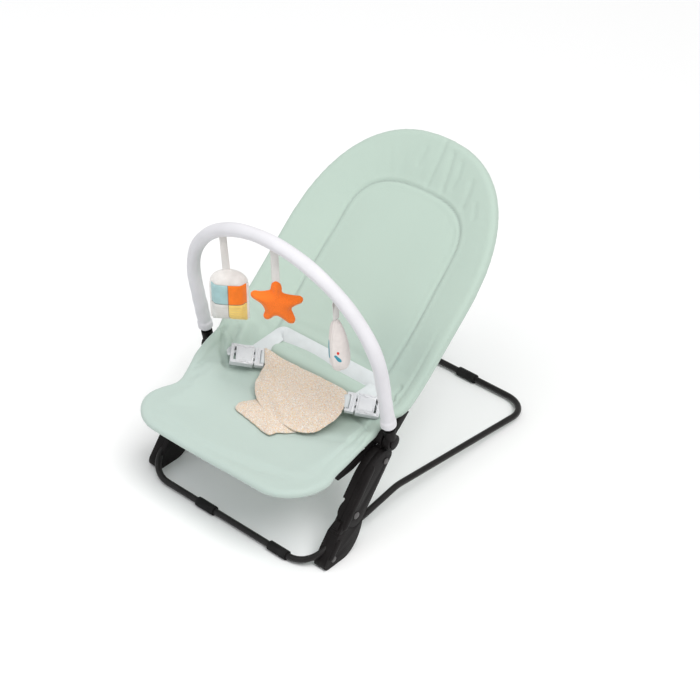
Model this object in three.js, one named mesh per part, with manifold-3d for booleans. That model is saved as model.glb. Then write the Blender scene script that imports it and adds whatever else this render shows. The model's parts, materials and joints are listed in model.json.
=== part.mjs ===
// A folding baby bouncer seat: a bent-tube base on two feet, two legs that fold,
// a sling seat and backrest that turn on side hubs, and a padded bar with three toys.
// Millimetres. +X is the sitter's left-hand side seen from the front (viewer's right),
// +Y runs from the knees to the head, +Z is up. The origin is the middle of the footprint,
// on the surface that the seat stands on.
import * as THREE from 'three';
import { mergeVertices } from 'three/addons/utils/BufferGeometryUtils.js';
import Module from 'manifold-3d';

const wasm = await Module();
wasm.setup();

// ---------------------------------------------------------------- driving dimensions
const GAP = 0.3;                     // clearance between pieces that touch
const TUBE_R = 6;                    // 12 mm steel tube, base, seat and backrest
const TUBE_BORE = 5;
const SLEEVE_R = 9;                  // rubber sleeves on the floor bars
const SLEEVE_LENGTH = 43;
const RAIL_X = 205;                  // side rails of the base
const RAIL_Z = 45;                   // rail height inside the feet
const FRONT_BAR_Y = -290;
const REAR_BAR_Y = 330;

const HUB = { y: -101, z: 189 };     // common axis of legs, seat, backrest and toy bar
const PIVOT = { y: -190, z: 78 };    // axis on which the legs fold against the feet
const LEG_TOP = { y: -113, z: 152.5 };
const FOOT_SCREW = { y: -249, z: 16 };
const LEG_HALF_WIDTH = 24;
const HEEL = -42;                    // the leg's front edge ends this far below the pivot
const FOLD = 28;                     // degrees that the legs fold back
const CASING_IN = 195;               // inner and outer faces of foot and leg casings
const CASING_OUT = 220.5;
const EAR_IN = 193.7;                // thin ear of the foot that carries the fold pivot
const EAR_OUT = 199.6;
const LEG_SPLIT = 210;

const SEAT_ANGLE = 3;                // degrees above level, towards the head
const BACK_ANGLE = 42;
const BAR_ANGLE = 100;               // toy bar leans 10 degrees towards the knees
const SEAT_HALF = 192;
const SEAT_LOBE_HALF = 208;
const SEAT_FRONT = -238.6;           // along the seat, from the hub
const SEAT_REAR = -31;
const SEAT_LEVEL = -5;               // middle of the padding, above the hub axis
const SEAT_HALF_THICK = 9;
const BACK_HALF = 216;
const BACK_STRAIGHT = 261;           // the sides are straight up to here, then curve over
const BACK_CROWN = 271;
const CROWN_POWER = 2.3;             // superellipse exponent of the backrest's top
const BACK_LEVEL = -15;
const BACK_HALF_THICK = 8;
const BACK_TUBE_X = 203;
const BACK_TUBE_START = 40;
const BACK_COVER_START = 62.5;       // beside the brackets
const BACK_APRON_START = 31;         // between them
const BACK_APRON_HALF = 188;
const SEAT_TUBE_X = 180;

const ARCH_HALF = 222;               // toy bar: half width, straight leg, height of the arch
const ARCH_STRAIGHT = 150;
const ARCH_RISE = 201;
const CORE_R = 5;
const PAD_R = 13;
const SLEEVE_END = 44;               // along the bar, where the sleeve and its plug begin
const SOCKET_TOP = 31;

const BELT = { left: -104, right: 137, low: 64, high: 94, thick: 3 };
const CROTCH_THICK = 6;
const CROTCH_FRONT = -131;           // along the seat; it rises from here to the buckles
const CROTCH_TILT = 8.5;
const CROTCH_OUTLINE = [             // across, and from its front edge towards the back
  [-80, 150], [-62, 130], [-62, 62], [-40, 13],
  [58, 0], [100, 62], [102, 100], [88, 120], [88, 150],
];
// Each buckle lies as it fell: the mouth of its socket, and its turn, roll and tilt in degrees.
const BUCKLES = {
  left: { at: [-101.9, -107, 216.1], turn: 42, roll: 11, tilt: 21 },
  right: { at: [137.7, -95.5, 224.8], turn: 32, roll: 6, tilt: 24 },
};

// Where each toy hangs along the bar, how high its top is, and how far it has turned.
const TOYS = {
  house: { x: -119, top: 435, turn: 36 },
  star: { x: 13, top: 464, turn: 42 },
  fish: { x: 151, top: 447, turn: 92 },
};
const STRAP_WIDTH = 13;
const STRAP_THICK = 2;
// Flat outlines of the star and of its notches, across and above the end of its strap.
const STAR_TIPS = [[0.5, -10], [42, -43], [27, -84], [-17, -77], [-35, -30]];
const STAR_NOTCHES = [[10, -33], [22, -59], [4, -71], [-19, -50], [-6, -26]];

const COLOURS = {
  steel: { color: 0x333133, roughness: 0.45, metalness: 0.5 },
  plastic: { color: 0x363334, roughness: 0.55, metalness: 0 },
  rubber: { color: 0x262425, roughness: 0.85, metalness: 0 },
  pin: { color: 0x5a5a5c, roughness: 0.4, metalness: 0.8 },
  mint: { color: 0xc5d6cf, roughness: 0.9, metalness: 0 },
  white: { color: 0xe6e6ea, roughness: 0.9, metalness: 0 },
  webbing: { color: 0xe9e6e2, roughness: 0.85, metalness: 0 },
  buckle: { color: 0xeeeeef, roughness: 0.4, metalness: 0 },
  pattern: { color: 0xe8d8ce, roughness: 0.9, metalness: 0 },
  orange: { color: 0xf87f2c, roughness: 0.95, metalness: 0 },
  cream: { color: 0xece7e4, roughness: 0.9, metalness: 0 },
};

// ---------------------------------------------------------------- solids and booleans
const object = new THREE.Group();
const degrees = (angle) => THREE.MathUtils.degToRad(angle);
const SIDES = [['left', -1], ['right', 1]];

function solid(geometry) {
  const bare = geometry.clone();
  bare.deleteAttribute('normal');
  bare.deleteAttribute('uv');
  const merged = mergeVertices(bare, 1e-4);
  return new wasm.Manifold(new wasm.Mesh({
    numProp: 3,
    vertProperties: new Float32Array(merged.attributes.position.array),
    triVerts: new Uint32Array(merged.index.array),
  }));
}

function toGeometry(manifold) {
  const mesh = manifold.getMesh();
  const geometry = new THREE.BufferGeometry();
  geometry.setAttribute('position', new THREE.BufferAttribute(mesh.vertProperties, 3));
  geometry.setIndex(new THREE.BufferAttribute(mesh.triVerts, 1));
  return geometry;
}

function join(...geometries) {
  return toGeometry(geometries.map(solid).reduce((whole, next) => whole.add(next)));
}

function cut(geometry, ...tools) {
  return toGeometry(tools.map(solid).reduce((rest, tool) => rest.subtract(tool), solid(geometry)));
}

function addPart(name, geometry, colour) {
  const mesh = new THREE.Mesh(geometry, new THREE.MeshStandardMaterial(COLOURS[colour]));
  mesh.name = name;
  object.add(mesh);
}

// A flat outline in the YZ plane, given thickness between two X positions on one side.
function plate(outline, side, xFrom, xTo, bevel = 0) {
  const depth = Math.abs(xTo - xFrom);
  const geometry = new THREE.ExtrudeGeometry(outline, {
    depth: depth - 2 * bevel,
    curveSegments: 6,
    bevelEnabled: bevel > 0,
    bevelThickness: bevel,
    bevelSize: bevel,
    bevelOffset: -bevel,
    bevelSegments: 2,
  });
  geometry.translate(0, 0, bevel);
  const yAxis = new THREE.Vector3(0, 1, 0);
  const zAxis = new THREE.Vector3(0, 0, 1);
  const xAxis = new THREE.Vector3(1, 0, 0);
  geometry.applyMatrix4(new THREE.Matrix4().makeBasis(yAxis, zAxis, xAxis));
  geometry.translate(side > 0 ? xFrom : -xTo, 0, 0);
  return geometry;
}

function disc(side, centre, radius, xFrom, xTo, sides = 24) {
  const geometry = new THREE.CylinderGeometry(radius, radius, xTo - xFrom, sides);
  geometry.rotateZ(Math.PI / 2);
  geometry.translate(side * (xFrom + xTo) / 2, centre.y, centre.z);
  return geometry;
}

function box(xFrom, xTo, yFrom, yTo, zFrom, zTo) {
  const geometry = new THREE.BoxGeometry(xTo - xFrom, yTo - yFrom, zTo - zFrom);
  geometry.translate((xFrom + xTo) / 2, (yFrom + yTo) / 2, (zFrom + zTo) / 2);
  return geometry;
}

// Turns a geometry drawn flat (x across, y along, z off the surface) into a plane
// that hinges on the hub axis.
function onHub(geometry, angle) {
  geometry.rotateX(degrees(angle));
  geometry.translate(0, HUB.y, HUB.z);
  return geometry;
}

function hubPoint(x, along, off, angle) {
  const point = new THREE.Vector3(x, along, off);
  point.applyAxisAngle(new THREE.Vector3(1, 0, 0), degrees(angle));
  return point.add(new THREE.Vector3(0, HUB.y, HUB.z));
}

// ---------------------------------------------------------------- tubes
// A route through chosen stations, so that bends get the steps and straights get none.
class Route extends THREE.Curve {
  constructor(stations) {
    super();
    this.stations = stations;
  }

  getPoint(t) {
    const place = Math.min(Math.max(t, 0), 1) * (this.stations.length - 1);
    const index = Math.min(Math.floor(place), this.stations.length - 2);
    return this.stations[index].clone().lerp(this.stations[index + 1], place - index);
  }

  getUtoTmapping(u) {
    return u;
  }
}

// Straight runs between corner points, each corner rounded to its radius.
function bentRoute(corners, radii, stepsPerBend = 6) {
  const stations = [corners[0].clone()];
  for (let i = 1; i < corners.length - 1; i += 1) {
    const before = corners[i - 1].clone().sub(corners[i]).normalize();
    const after = corners[i + 1].clone().sub(corners[i]).normalize();
    const turn = Math.PI - before.angleTo(after);
    const reach = radii[i - 1] * Math.tan(turn / 2);
    const handle = reach - (4 / 3) * Math.tan(turn / 4) * radii[i - 1];
    const bend = new THREE.CubicBezierCurve3(
      corners[i].clone().addScaledVector(before, reach),
      corners[i].clone().addScaledVector(before, handle),
      corners[i].clone().addScaledVector(after, handle),
      corners[i].clone().addScaledVector(after, reach),
    );
    const steps = Math.max(2, Math.round(stepsPerBend * turn / (Math.PI / 2)));
    stations.push(...bend.getPoints(steps));
  }
  stations.push(corners[corners.length - 1].clone());
  return new Route(stations);
}

function polygon(corners) {
  return new THREE.Shape(corners.map(([across, along]) => new THREE.Vector2(across, along)));
}

function circle(radius, sides) {
  const shape = new THREE.Shape();
  for (let i = 0; i < sides; i += 1) {
    const angle = (2 * Math.PI * i) / sides;
    const point = [radius * Math.cos(angle), radius * Math.sin(angle)];
    if (i === 0) shape.moveTo(...point);
    else shape.lineTo(...point);
  }
  shape.closePath();
  return shape;
}

function tube(route, radius, sides = 10, bore = 0) {
  const section = circle(radius, sides);
  if (bore > 0) section.holes.push(new THREE.Path(circle(bore, sides).getPoints().reverse()));
  return new THREE.ExtrudeGeometry(section, {
    steps: route.stations.length - 1,
    extrudePath: route,
    curveSegments: 1,
  });
}

const point = (x, y, z) => new THREE.Vector3(x, y, z);
const mirrored = (corners) => [...corners, ...corners.toReversed().map((p) => point(-p.x, p.y, p.z))];

// ---------------------------------------------------------------- base loop
const frontRoute = bentRoute(mirrored([
  point(RAIL_X, -212, RAIL_Z),
  point(RAIL_X, -230, RAIL_Z),
  point(RAIL_X, FRONT_BAR_Y, SLEEVE_R),
]), [20, 54, 54, 20]);
const rearRoute = bentRoute(mirrored([
  point(RAIL_X, -209, RAIL_Z),
  point(RAIL_X, -153, RAIL_Z),
  point(RAIL_X, -63, 58),
  point(RAIL_X, REAR_BAR_Y, SLEEVE_R),
]), [60, 80, 55, 55, 80, 60]);

function baseLoop() {
  addPart('front_base_tube', tube(frontRoute, TUBE_R, 10, TUBE_BORE), 'steel');
  addPart('rear_base_tube', tube(rearRoute, TUBE_R, 10, TUBE_BORE), 'steel');
  const places = [
    ['front_sleeve_left', -50, FRONT_BAR_Y],
    ['front_sleeve_right', 128, FRONT_BAR_Y],
    ['rear_sleeve_left', -100, REAR_BAR_Y],
    ['rear_sleeve_right', 51, REAR_BAR_Y],
  ];
  for (const [name, x, y] of places) {
    const bar = { y, z: SLEEVE_R };
    const outer = disc(1, bar, SLEEVE_R, x - SLEEVE_LENGTH / 2, x + SLEEVE_LENGTH / 2, 16);
    const bore = disc(1, bar, TUBE_R + GAP, x - SLEEVE_LENGTH, x + SLEEVE_LENGTH, 16);
    addPart(name, cut(outer, bore), 'rubber');
  }
}

// ---------------------------------------------------------------- legs and feet
// Unit directions of the leg: up along it, and square to it towards the knees.
const legLength = Math.hypot(HUB.y - PIVOT.y, HUB.z - PIVOT.z);
const legUp = { y: (HUB.y - PIVOT.y) / legLength, z: (HUB.z - PIVOT.z) / legLength };
const legFront = { y: -legUp.z, z: legUp.y };

function onLeg(along, forward) {
  return [
    PIVOT.y + along * legUp.y + forward * legFront.y,
    PIVOT.z + along * legUp.z + forward * legFront.z,
  ];
}

const legDirection = Math.atan2(legUp.z, legUp.y);

function legOutline() {
  const shape = new THREE.Shape();
  shape.moveTo(...onLeg(HEEL, LEG_HALF_WIDTH));
  shape.lineTo(...onLeg(HEEL + 4, LEG_HALF_WIDTH - 9));
  const heelFrom = legDirection + 2.58;
  const heelTo = legDirection + 1.5 * Math.PI;
  shape.absarc(PIVOT.y, PIVOT.z, LEG_HALF_WIDTH, heelFrom, heelTo, false);
  shape.lineTo(...onLeg(117, -LEG_HALF_WIDTH));
  shape.quadraticCurveTo(-92, 166, -104, 171.5);
  shape.quadraticCurveTo(-113, 177, -124, 174);
  shape.quadraticCurveTo(-148, 166, ...onLeg(66, LEG_HALF_WIDTH));
  shape.closePath();
  return shape;
}

function footOutline() {
  const shape = new THREE.Shape();
  shape.moveTo(-262, 0);
  shape.lineTo(-224, 0);
  shape.quadraticCurveTo(-203, 1, -186, 25);
  shape.quadraticCurveTo(-177, 38, -172, 61);
  shape.lineTo(...onLeg(10, 0));
  shape.lineTo(...onLeg(HEEL - 0.5, LEG_HALF_WIDTH));
  shape.lineTo(-269, 18);
  shape.quadraticCurveTo(-276, 2, -262, 0);
  return shape;
}

// The room that the leg's lower end needs, standing up and folded back.
function legEndRoom(side) {
  const room = new THREE.Shape();
  room.moveTo(...onLeg(HEEL - 0.5, LEG_HALF_WIDTH + 20));
  room.lineTo(...onLeg(HEEL - 0.5, LEG_HALF_WIDTH - 0.5));
  room.lineTo(...onLeg(HEEL + 3.6, LEG_HALF_WIDTH - 9.6));
  const folded = legDirection - degrees(FOLD + 1);
  const under = folded + 1.5 * Math.PI;
  room.absarc(PIVOT.y, PIVOT.z, LEG_HALF_WIDTH + 0.6, legDirection + 2.62, under, false);
  const behind = room.currentPoint.clone();
  room.lineTo(behind.x + 60 * Math.cos(folded), behind.y + 60 * Math.sin(folded));
  room.lineTo(...onLeg(60, LEG_HALF_WIDTH + 20));
  room.closePath();
  return plate(room, side, EAR_OUT, CASING_OUT + 10);
}

function earOutline() {
  const ear = new THREE.Shape();
  ear.absarc(PIVOT.y, PIVOT.z, 19, -0.35, Math.PI + 0.35, false);
  ear.lineTo(-212, 40);
  ear.lineTo(-184, 40);
  ear.closePath();
  return ear;
}

function hubLinkOutline() {
  const link = new THREE.Shape();
  link.moveTo(HUB.y + 8, HUB.z - 6);
  link.lineTo(LEG_TOP.y + 9, LEG_TOP.z + 2);
  link.absarc(LEG_TOP.y, LEG_TOP.z, 9, 0, Math.PI, true);
  link.lineTo(HUB.y - 12, HUB.z - 4);
  link.closePath();
  return link;
}

function hubLink(side, grow) {
  return plate(hubLinkOutline(), side, 202.5 - grow, 211 + grow);
}

function screw(side, centre, shankR, headR, xTip, sides = 12) {
  const head = disc(side, centre, headR, CASING_OUT + GAP, CASING_OUT + 1.6, 16);
  const shank = disc(side, centre, shankR, xTip, CASING_OUT + 1, sides);
  return join(head, shank);
}

// The room for the tubes through one foot, a little wider than they are.
function railChannel(side) {
  const route = bentRoute([
    point(side * 100, FRONT_BAR_Y, SLEEVE_R),
    point(side * RAIL_X, FRONT_BAR_Y, SLEEVE_R),
    point(side * RAIL_X, -230, RAIL_Z),
    point(side * RAIL_X, -153, RAIL_Z),
    point(side * RAIL_X, -63, 58),
  ], [54, 20, 60]);
  return tube(route, TUBE_R + 0.7, 12);
}

function foot(name, side) {
  const screwHole = disc(side, FOOT_SCREW, 2.3, 198, 230, 12);
  const pinHole = disc(side, PIVOT, 4.3, 180, 230, 16);
  const room = legEndRoom(side);
  const cutters = [railChannel(side), screwHole, pinHole, room];
  const outer = plate(footOutline(), side, RAIL_X + GAP / 2, CASING_OUT);
  const inner = plate(footOutline(), side, CASING_IN, RAIL_X - GAP / 2);
  const ear = plate(earOutline(), side, EAR_IN, EAR_OUT);
  addPart(`foot_outer_${name}`, cut(outer, ...cutters), 'plastic');
  addPart(`foot_inner_${name}`, cut(join(inner, ear), ...cutters), 'plastic');
  addPart(`foot_screw_${name}`, screw(side, FOOT_SCREW, 2, 6, 199), 'pin');
  addPart(`fold_pin_${name}`, screw(side, PIVOT, 4, 7, EAR_IN + 0.5, 16), 'pin');
}

function leg(name, side) {
  const pinHole = disc(side, PIVOT, 4.3, 180, 230, 16);
  const screwHole = disc(side, LEG_TOP, 2.3, 198, 230, 12);
  const earRoom = disc(side, PIVOT, 27, 190, EAR_OUT + 0.5, 24);
  const footRoom = plate(footRoomOutline(), side, 190, EAR_OUT + 0.5);
  const cutters = [pinHole, screwHole, earRoom, footRoom, hubLink(side, GAP)];
  const outer = plate(legOutline(), side, LEG_SPLIT + GAP / 2, CASING_OUT);
  const inner = plate(legOutline(), side, CASING_IN, LEG_SPLIT - GAP / 2);
  addPart(`leg_outer_${name}`, cut(outer, ...cutters), 'plastic');
  addPart(`leg_inner_${name}`, cut(inner, ...cutters), 'plastic');
  addPart(`leg_screw_${name}`, screw(side, LEG_TOP, 2, 6, 199), 'pin');
}

// Everything of the leg below the pivot stands clear of the foot's thin ear.
function footRoomOutline() {
  const shape = new THREE.Shape();
  shape.moveTo(...onLeg(-70, -40));
  shape.lineTo(...onLeg(20, -40));
  shape.lineTo(...onLeg(20, 40));
  shape.lineTo(...onLeg(-70, 40));
  shape.closePath();
  return shape;
}

function hub(name, side) {
  const drum = disc(side, HUB, 15, 200.5, 211.2);
  const axleHole = disc(side, HUB, 5 + GAP, 180, 230, 16);
  const screwHole = disc(side, LEG_TOP, 2.3, 198, 230, 12);
  addPart(`hub_housing_${name}`, cut(join(drum, hubLink(side, 0)), axleHole, screwHole), 'plastic');
  const axle = disc(side, HUB, 5, 184, 220.8, 16);
  const axleHead = disc(side, HUB, 8, 183.5, 186.6, 16);
  addPart(`hub_axle_${name}`, join(axle, axleHead), 'pin');
}

// The catch that releases the leg from the foot slides up the leg's front edge.
function foldCatch(name, side) {
  const shape = new THREE.Shape();
  shape.moveTo(...onLeg(-36, LEG_HALF_WIDTH + GAP));
  shape.lineTo(...onLeg(-18, LEG_HALF_WIDTH + GAP));
  shape.lineTo(...onLeg(-20, LEG_HALF_WIDTH + 4.5));
  shape.lineTo(...onLeg(-34, LEG_HALF_WIDTH + 4.5));
  shape.closePath();
  addPart(`fold_catch_${name}`, plate(shape, side, 203, 215), 'plastic');
}

// ---------------------------------------------------------------- seat
const seatTubeRoute = bentRoute(mirrored([
  hubPoint(SEAT_TUBE_X, -19, SEAT_LEVEL, SEAT_ANGLE),
  hubPoint(SEAT_TUBE_X, SEAT_FRONT + 14, SEAT_LEVEL, SEAT_ANGLE),
]), [88, 88]);

function seatOutline(inset) {
  const half = SEAT_HALF - inset;
  const lobe = SEAT_LOBE_HALF - inset;
  const front = SEAT_FRONT + inset;
  const corner = 92 - inset;
  const shape = new THREE.Shape();
  shape.moveTo(half, SEAT_REAR - inset);
  shape.lineTo(-half, SEAT_REAR - inset);
  shape.lineTo(-half, -128);
  shape.quadraticCurveTo(-half, -141, -lobe, -146);
  shape.bezierCurveTo(-lobe, front + 0.45 * corner, -lobe + 0.45 * corner, front, -lobe + corner, front);
  shape.lineTo(lobe - corner, front);
  shape.bezierCurveTo(lobe - 0.45 * corner, front, lobe, front + 0.45 * corner, lobe, -146);
  shape.quadraticCurveTo(half, -141, half, -128);
  shape.closePath();
  return shape;
}

function pad(outline, level, halfThick, bevel, segments = 8) {
  const geometry = new THREE.ExtrudeGeometry(outline, {
    depth: 2 * (halfThick - bevel),
    curveSegments: segments,
    bevelEnabled: true,
    bevelThickness: bevel,
    bevelSize: bevel,
    bevelSegments: 2,
  });
  geometry.translate(0, 0, level - halfThick + bevel);
  return geometry;
}

// The arm holds the end of the seat tube and hangs under the edge of the seat.
function seatArm(name, side) {
  const under = SEAT_LEVEL - SEAT_HALF_THICK - 0.6;
  const outline = new THREE.Shape();
  outline.moveTo(6, -15);
  outline.absarc(0, 0, 16, -1.1, 2.6, false);
  outline.lineTo(-30.2, 5);
  outline.lineTo(-30.2, under);
  outline.lineTo(-106, under);
  outline.quadraticCurveTo(-112, -30, -106, -33);
  outline.lineTo(-72, -33);
  outline.quadraticCurveTo(-50, -30, -26, -21);
  outline.closePath();
  const eye = onHubPlate(outline, side, 187, 193.5, SEAT_ANGLE);
  const socket = box(side > 0 ? 170 : -193, side > 0 ? 193 : -170, -30.2, -18, -14, 5);
  const axleHole = disc(side, HUB, 5 + GAP, 170, 230, 16);
  const tubeHole = tube(seatTubeRoute, TUBE_R + GAP);
  const whole = join(eye, onHub(socket, SEAT_ANGLE));
  addPart(`seat_arm_${name}`, cut(whole, axleHole, tubeHole), 'plastic');
}

// An outline drawn along and off a hinged plane, given thickness across it.
function onHubPlate(outline, side, xFrom, xTo, angle) {
  const flat = plate(outline, side, xFrom, xTo);
  flat.rotateX(degrees(angle));
  flat.translate(0, HUB.y, HUB.z);
  return flat;
}

function seat() {
  addPart('seat_tube', tube(seatTubeRoute, TUBE_R, 10, TUBE_BORE), 'steel');
  const bevel = 7;
  const cover = onHub(pad(seatOutline(bevel), SEAT_LEVEL, SEAT_HALF_THICK, bevel), SEAT_ANGLE);
  addPart('seat_cover', cut(cover, tube(seatTubeRoute, TUBE_R + GAP)), 'mint');
}

// ---------------------------------------------------------------- backrest
function crownPoints(half, rise, count) {
  const points = [];
  for (let i = 1; i < count; i += 1) {
    const angle = (Math.PI * i) / count;
    const across = Math.sign(Math.cos(angle)) * Math.abs(Math.cos(angle)) ** (2 / CROWN_POWER);
    const up = Math.sin(angle) ** (2 / CROWN_POWER);
    points.push([half * across, BACK_STRAIGHT + rise * up]);
  }
  return points;
}

const backTubeRoute = new Route([
  hubPoint(BACK_TUBE_X, BACK_TUBE_START, BACK_LEVEL, BACK_ANGLE),
  hubPoint(BACK_TUBE_X, BACK_STRAIGHT, BACK_LEVEL, BACK_ANGLE),
  ...crownPoints(BACK_TUBE_X, BACK_CROWN - 13, 26)
    .map(([x, along]) => hubPoint(x, along, BACK_LEVEL, BACK_ANGLE)),
  hubPoint(-BACK_TUBE_X, BACK_STRAIGHT, BACK_LEVEL, BACK_ANGLE),
  hubPoint(-BACK_TUBE_X, BACK_TUBE_START, BACK_LEVEL, BACK_ANGLE),
]);

function backOutline(inset) {
  const half = BACK_HALF - inset;
  const apron = BACK_APRON_HALF - inset;
  const shape = new THREE.Shape();
  shape.moveTo(half, BACK_COVER_START + inset);
  shape.lineTo(half, BACK_STRAIGHT);
  for (const [x, along] of crownPoints(half, BACK_CROWN - inset, 26)) shape.lineTo(x, along);
  shape.lineTo(-half, BACK_STRAIGHT);
  shape.lineTo(-half, BACK_COVER_START + inset);
  shape.lineTo(-apron, BACK_COVER_START + inset);
  shape.lineTo(-apron, BACK_APRON_START + inset);
  shape.lineTo(apron, BACK_APRON_START + inset);
  shape.lineTo(apron, BACK_COVER_START + inset);
  shape.closePath();
  return shape;
}

function backBracket(name, side) {
  const low = BACK_LEVEL - 7.5;
  const high = BACK_LEVEL + 7.5;
  const strip = new THREE.Shape();
  strip.absarc(0, 0, 15, 0.9, 4.6, false);
  strip.lineTo(20, low);
  strip.lineTo(BACK_COVER_START - 0.5, low);
  strip.lineTo(BACK_COVER_START - 0.5, high);
  strip.lineTo(28, high);
  strip.closePath();
  const eye = onHubPlate(strip, side, 194, 200, BACK_ANGLE);
  const xFrom = side > 0 ? 194 : -210.5;
  const xTo = side > 0 ? 210.5 : -194;
  const socket = onHub(box(xFrom, xTo, 26, BACK_COVER_START - 0.5, low, high), BACK_ANGLE);
  const axleHole = disc(side, HUB, 5 + GAP, 170, 230, 16);
  const whole = join(eye, socket);
  addPart(`back_bracket_${name}`, cut(whole, axleHole, tube(backTubeRoute, TUBE_R + GAP)), 'plastic');
}

function backrest() {
  addPart('back_tube', tube(backTubeRoute, TUBE_R, 10, TUBE_BORE), 'steel');
  const bevel = 6;
  const cover = onHub(pad(backOutline(bevel), BACK_LEVEL, BACK_HALF_THICK, bevel), BACK_ANGLE);
  addPart('back_cover', cut(cover, tube(backTubeRoute, TUBE_R + GAP)), 'mint');
}

// ---------------------------------------------------------------- harness
function harness() {
  const beltOff = BACK_LEVEL + BACK_HALF_THICK + GAP;
  const belt = box(BELT.left, BELT.right, BELT.low, BELT.high, beltOff, beltOff + BELT.thick);
  addPart('waist_belt', onHub(belt, BACK_ANGLE), 'webbing');
  const outline = polygon(CROTCH_OUTLINE);
  const crotch = new THREE.ExtrudeGeometry(outline, { depth: CROTCH_THICK, bevelEnabled: false });
  crotch.rotateX(degrees(CROTCH_TILT));
  crotch.translate(0, CROTCH_FRONT, SEAT_LEVEL + SEAT_HALF_THICK + GAP);
  addPart('crotch_pad', onHub(crotch, SEAT_ANGLE), 'pattern');
}

// A side-release buckle: a flat socket, and an insert with a tongue between two prongs.
// Both are drawn outwards from the mouth of the socket.
function buckle(name, side) {
  const { at, turn, roll, tilt } = BUCKLES[name];
  const bar = (from, to, half, halfThick, middle = 0) => {
    const [left, right] = side > 0 ? [from, to] : [-to, -from];
    const geometry = box(left, right, middle - half, middle + half, -halfThick, halfThick);
    geometry.rotateX(degrees(tilt));
    geometry.rotateY(degrees(roll));
    geometry.rotateZ(degrees(turn));
    geometry.translate(...at);
    return geometry;
  };
  const socket = bar(0, 42, 20, 5.5);
  const mouth = bar(-2, 24, 15, 3);
  const webbingSlot = bar(32, 36, 14, 10);
  addPart(`buckle_socket_${name}`, cut(socket, mouth, webbingSlot), 'buckle');
  const shoulder = bar(-19, -2.5, 19, 4.5);
  const strapSlot = bar(-16, -12, 14, 10);
  const tongue = bar(-4, 19, 4, 2.2);
  const insert = join(shoulder, tongue, bar(-4, 21, 2.2, 2.2, -12), bar(-4, 21, 2.2, 2.2, 12));
  addPart(`buckle_insert_${name}`, cut(insert, strapSlot), 'buckle');
}

// ---------------------------------------------------------------- toy bar
function archHeight(x) {
  return ARCH_STRAIGHT + ARCH_RISE * Math.sqrt(1 - (x / ARCH_HALF) ** 2);
}

function archRoute(start) {
  const stations = [];
  const steps = 22;
  for (let i = 0; i <= steps; i += 1) {
    const angle = (Math.PI * i) / steps;
    const along = ARCH_STRAIGHT + ARCH_RISE * Math.sin(angle);
    stations.push(hubPoint(ARCH_HALF * Math.cos(angle), along, 0, BAR_ANGLE));
  }
  stations.unshift(hubPoint(ARCH_HALF, start, 0, BAR_ANGLE));
  stations.push(hubPoint(-ARCH_HALF, start, 0, BAR_ANGLE));
  return new Route(stations);
}

// A round piece that stands along the toy bar's straight leg.
function barCylinder(side, radius, from, to, sides = 20) {
  const geometry = new THREE.CylinderGeometry(radius, radius, to - from, sides);
  geometry.translate(side * ARCH_HALF, (from + to) / 2, 0);
  return onHub(geometry, BAR_ANGLE);
}

function toyBar() {
  addPart('toy_bar_core', tube(archRoute(20), CORE_R, 8), 'steel');
  addPart('toy_bar_sleeve', tube(archRoute(SLEEVE_END), PAD_R, 12, CORE_R + GAP + 0.3), 'white');
  for (const [name, side] of SIDES) {
    const plug = cut(
      barCylinder(side, 8, 18, SLEEVE_END - GAP, 16),
      barCylinder(side, CORE_R + GAP, 10, 60, 12),
    );
    addPart(`toy_bar_plug_${name}`, plug, 'plastic');
    const eye = disc(side, HUB, 15, 214.5, 228);
    const collar = join(eye, barCylinder(side, 10.5, 10, SOCKET_TOP));
    const counterbore = disc(side, HUB, 10.5, 221, 240);
    const axleHole = disc(side, HUB, 5 + GAP, 180, 240, 16);
    const socket = barCylinder(side, 8 + GAP, 17, 60, 16);
    addPart(`toy_bar_collar_${name}`, cut(collar, counterbore, axleHole, socket), 'plastic');
    addPart(`recline_button_${name}`, disc(side, HUB, 9.5, 224, 230.5, 20), 'plastic');
  }
}

// ---------------------------------------------------------------- toys
// Where a toy is held: the bar's axis there, its direction, and the sleeve's lowest point.
function hanger(x) {
  const centre = hubPoint(x, archHeight(x), 0, BAR_ANGLE);
  const slope = -(ARCH_RISE / ARCH_HALF) * (x / ARCH_HALF) / Math.sqrt(1 - (x / ARCH_HALF) ** 2);
  const along = hubPoint(x + 1, archHeight(x) + slope, 0, BAR_ANGLE).sub(centre).normalize();
  const down = point(0, 0, -1);
  down.addScaledVector(along, -down.dot(along)).normalize();
  const hook = centre.clone().addScaledVector(down, PAD_R);
  return { centre, along, hook };
}

// The strap is stitched under the sleeve and hangs straight down to the toy.
function toyStrap({ x, top, turn }) {
  const { centre, along, hook } = hanger(x);
  const strapEnd = top + GAP;
  const band = new THREE.BoxGeometry(STRAP_WIDTH, STRAP_THICK, centre.z - strapEnd);
  band.rotateZ(degrees(turn));
  band.translate(hook.x, hook.y, (centre.z + strapEnd) / 2);
  const sleeve = new THREE.ExtrudeGeometry(circle(PAD_R + 3 * GAP, 24), { depth: 80, bevelEnabled: false });
  sleeve.translate(0, 0, -40);
  sleeve.applyQuaternion(new THREE.Quaternion().setFromUnitVectors(point(0, 0, 1), along));
  sleeve.translate(centre.x, centre.y, centre.z);
  return cut(band, sleeve);
}

function hangToy(outline, { x, top, turn }, halfThick, bevel) {
  const { hook } = hanger(x);
  const geometry = pad(outline, 0, halfThick, bevel, 6);
  geometry.rotateX(Math.PI / 2);
  geometry.rotateZ(degrees(turn));
  geometry.translate(hook.x, hook.y, top);
  return geometry;
}

function houseOutline() {
  const shape = new THREE.Shape();
  shape.moveTo(-22, -98);
  shape.lineTo(34, -98);
  shape.lineTo(34, -38);
  shape.bezierCurveTo(34, -22, 22, -13, 6, -12);
  shape.bezierCurveTo(-10, -13, -22, -22, -22, -38);
  shape.closePath();
  return shape;
}

function starOutline() {
  return polygon(STAR_TIPS.flatMap((tip, i) => [tip, STAR_NOTCHES[i]]));
}

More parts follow.
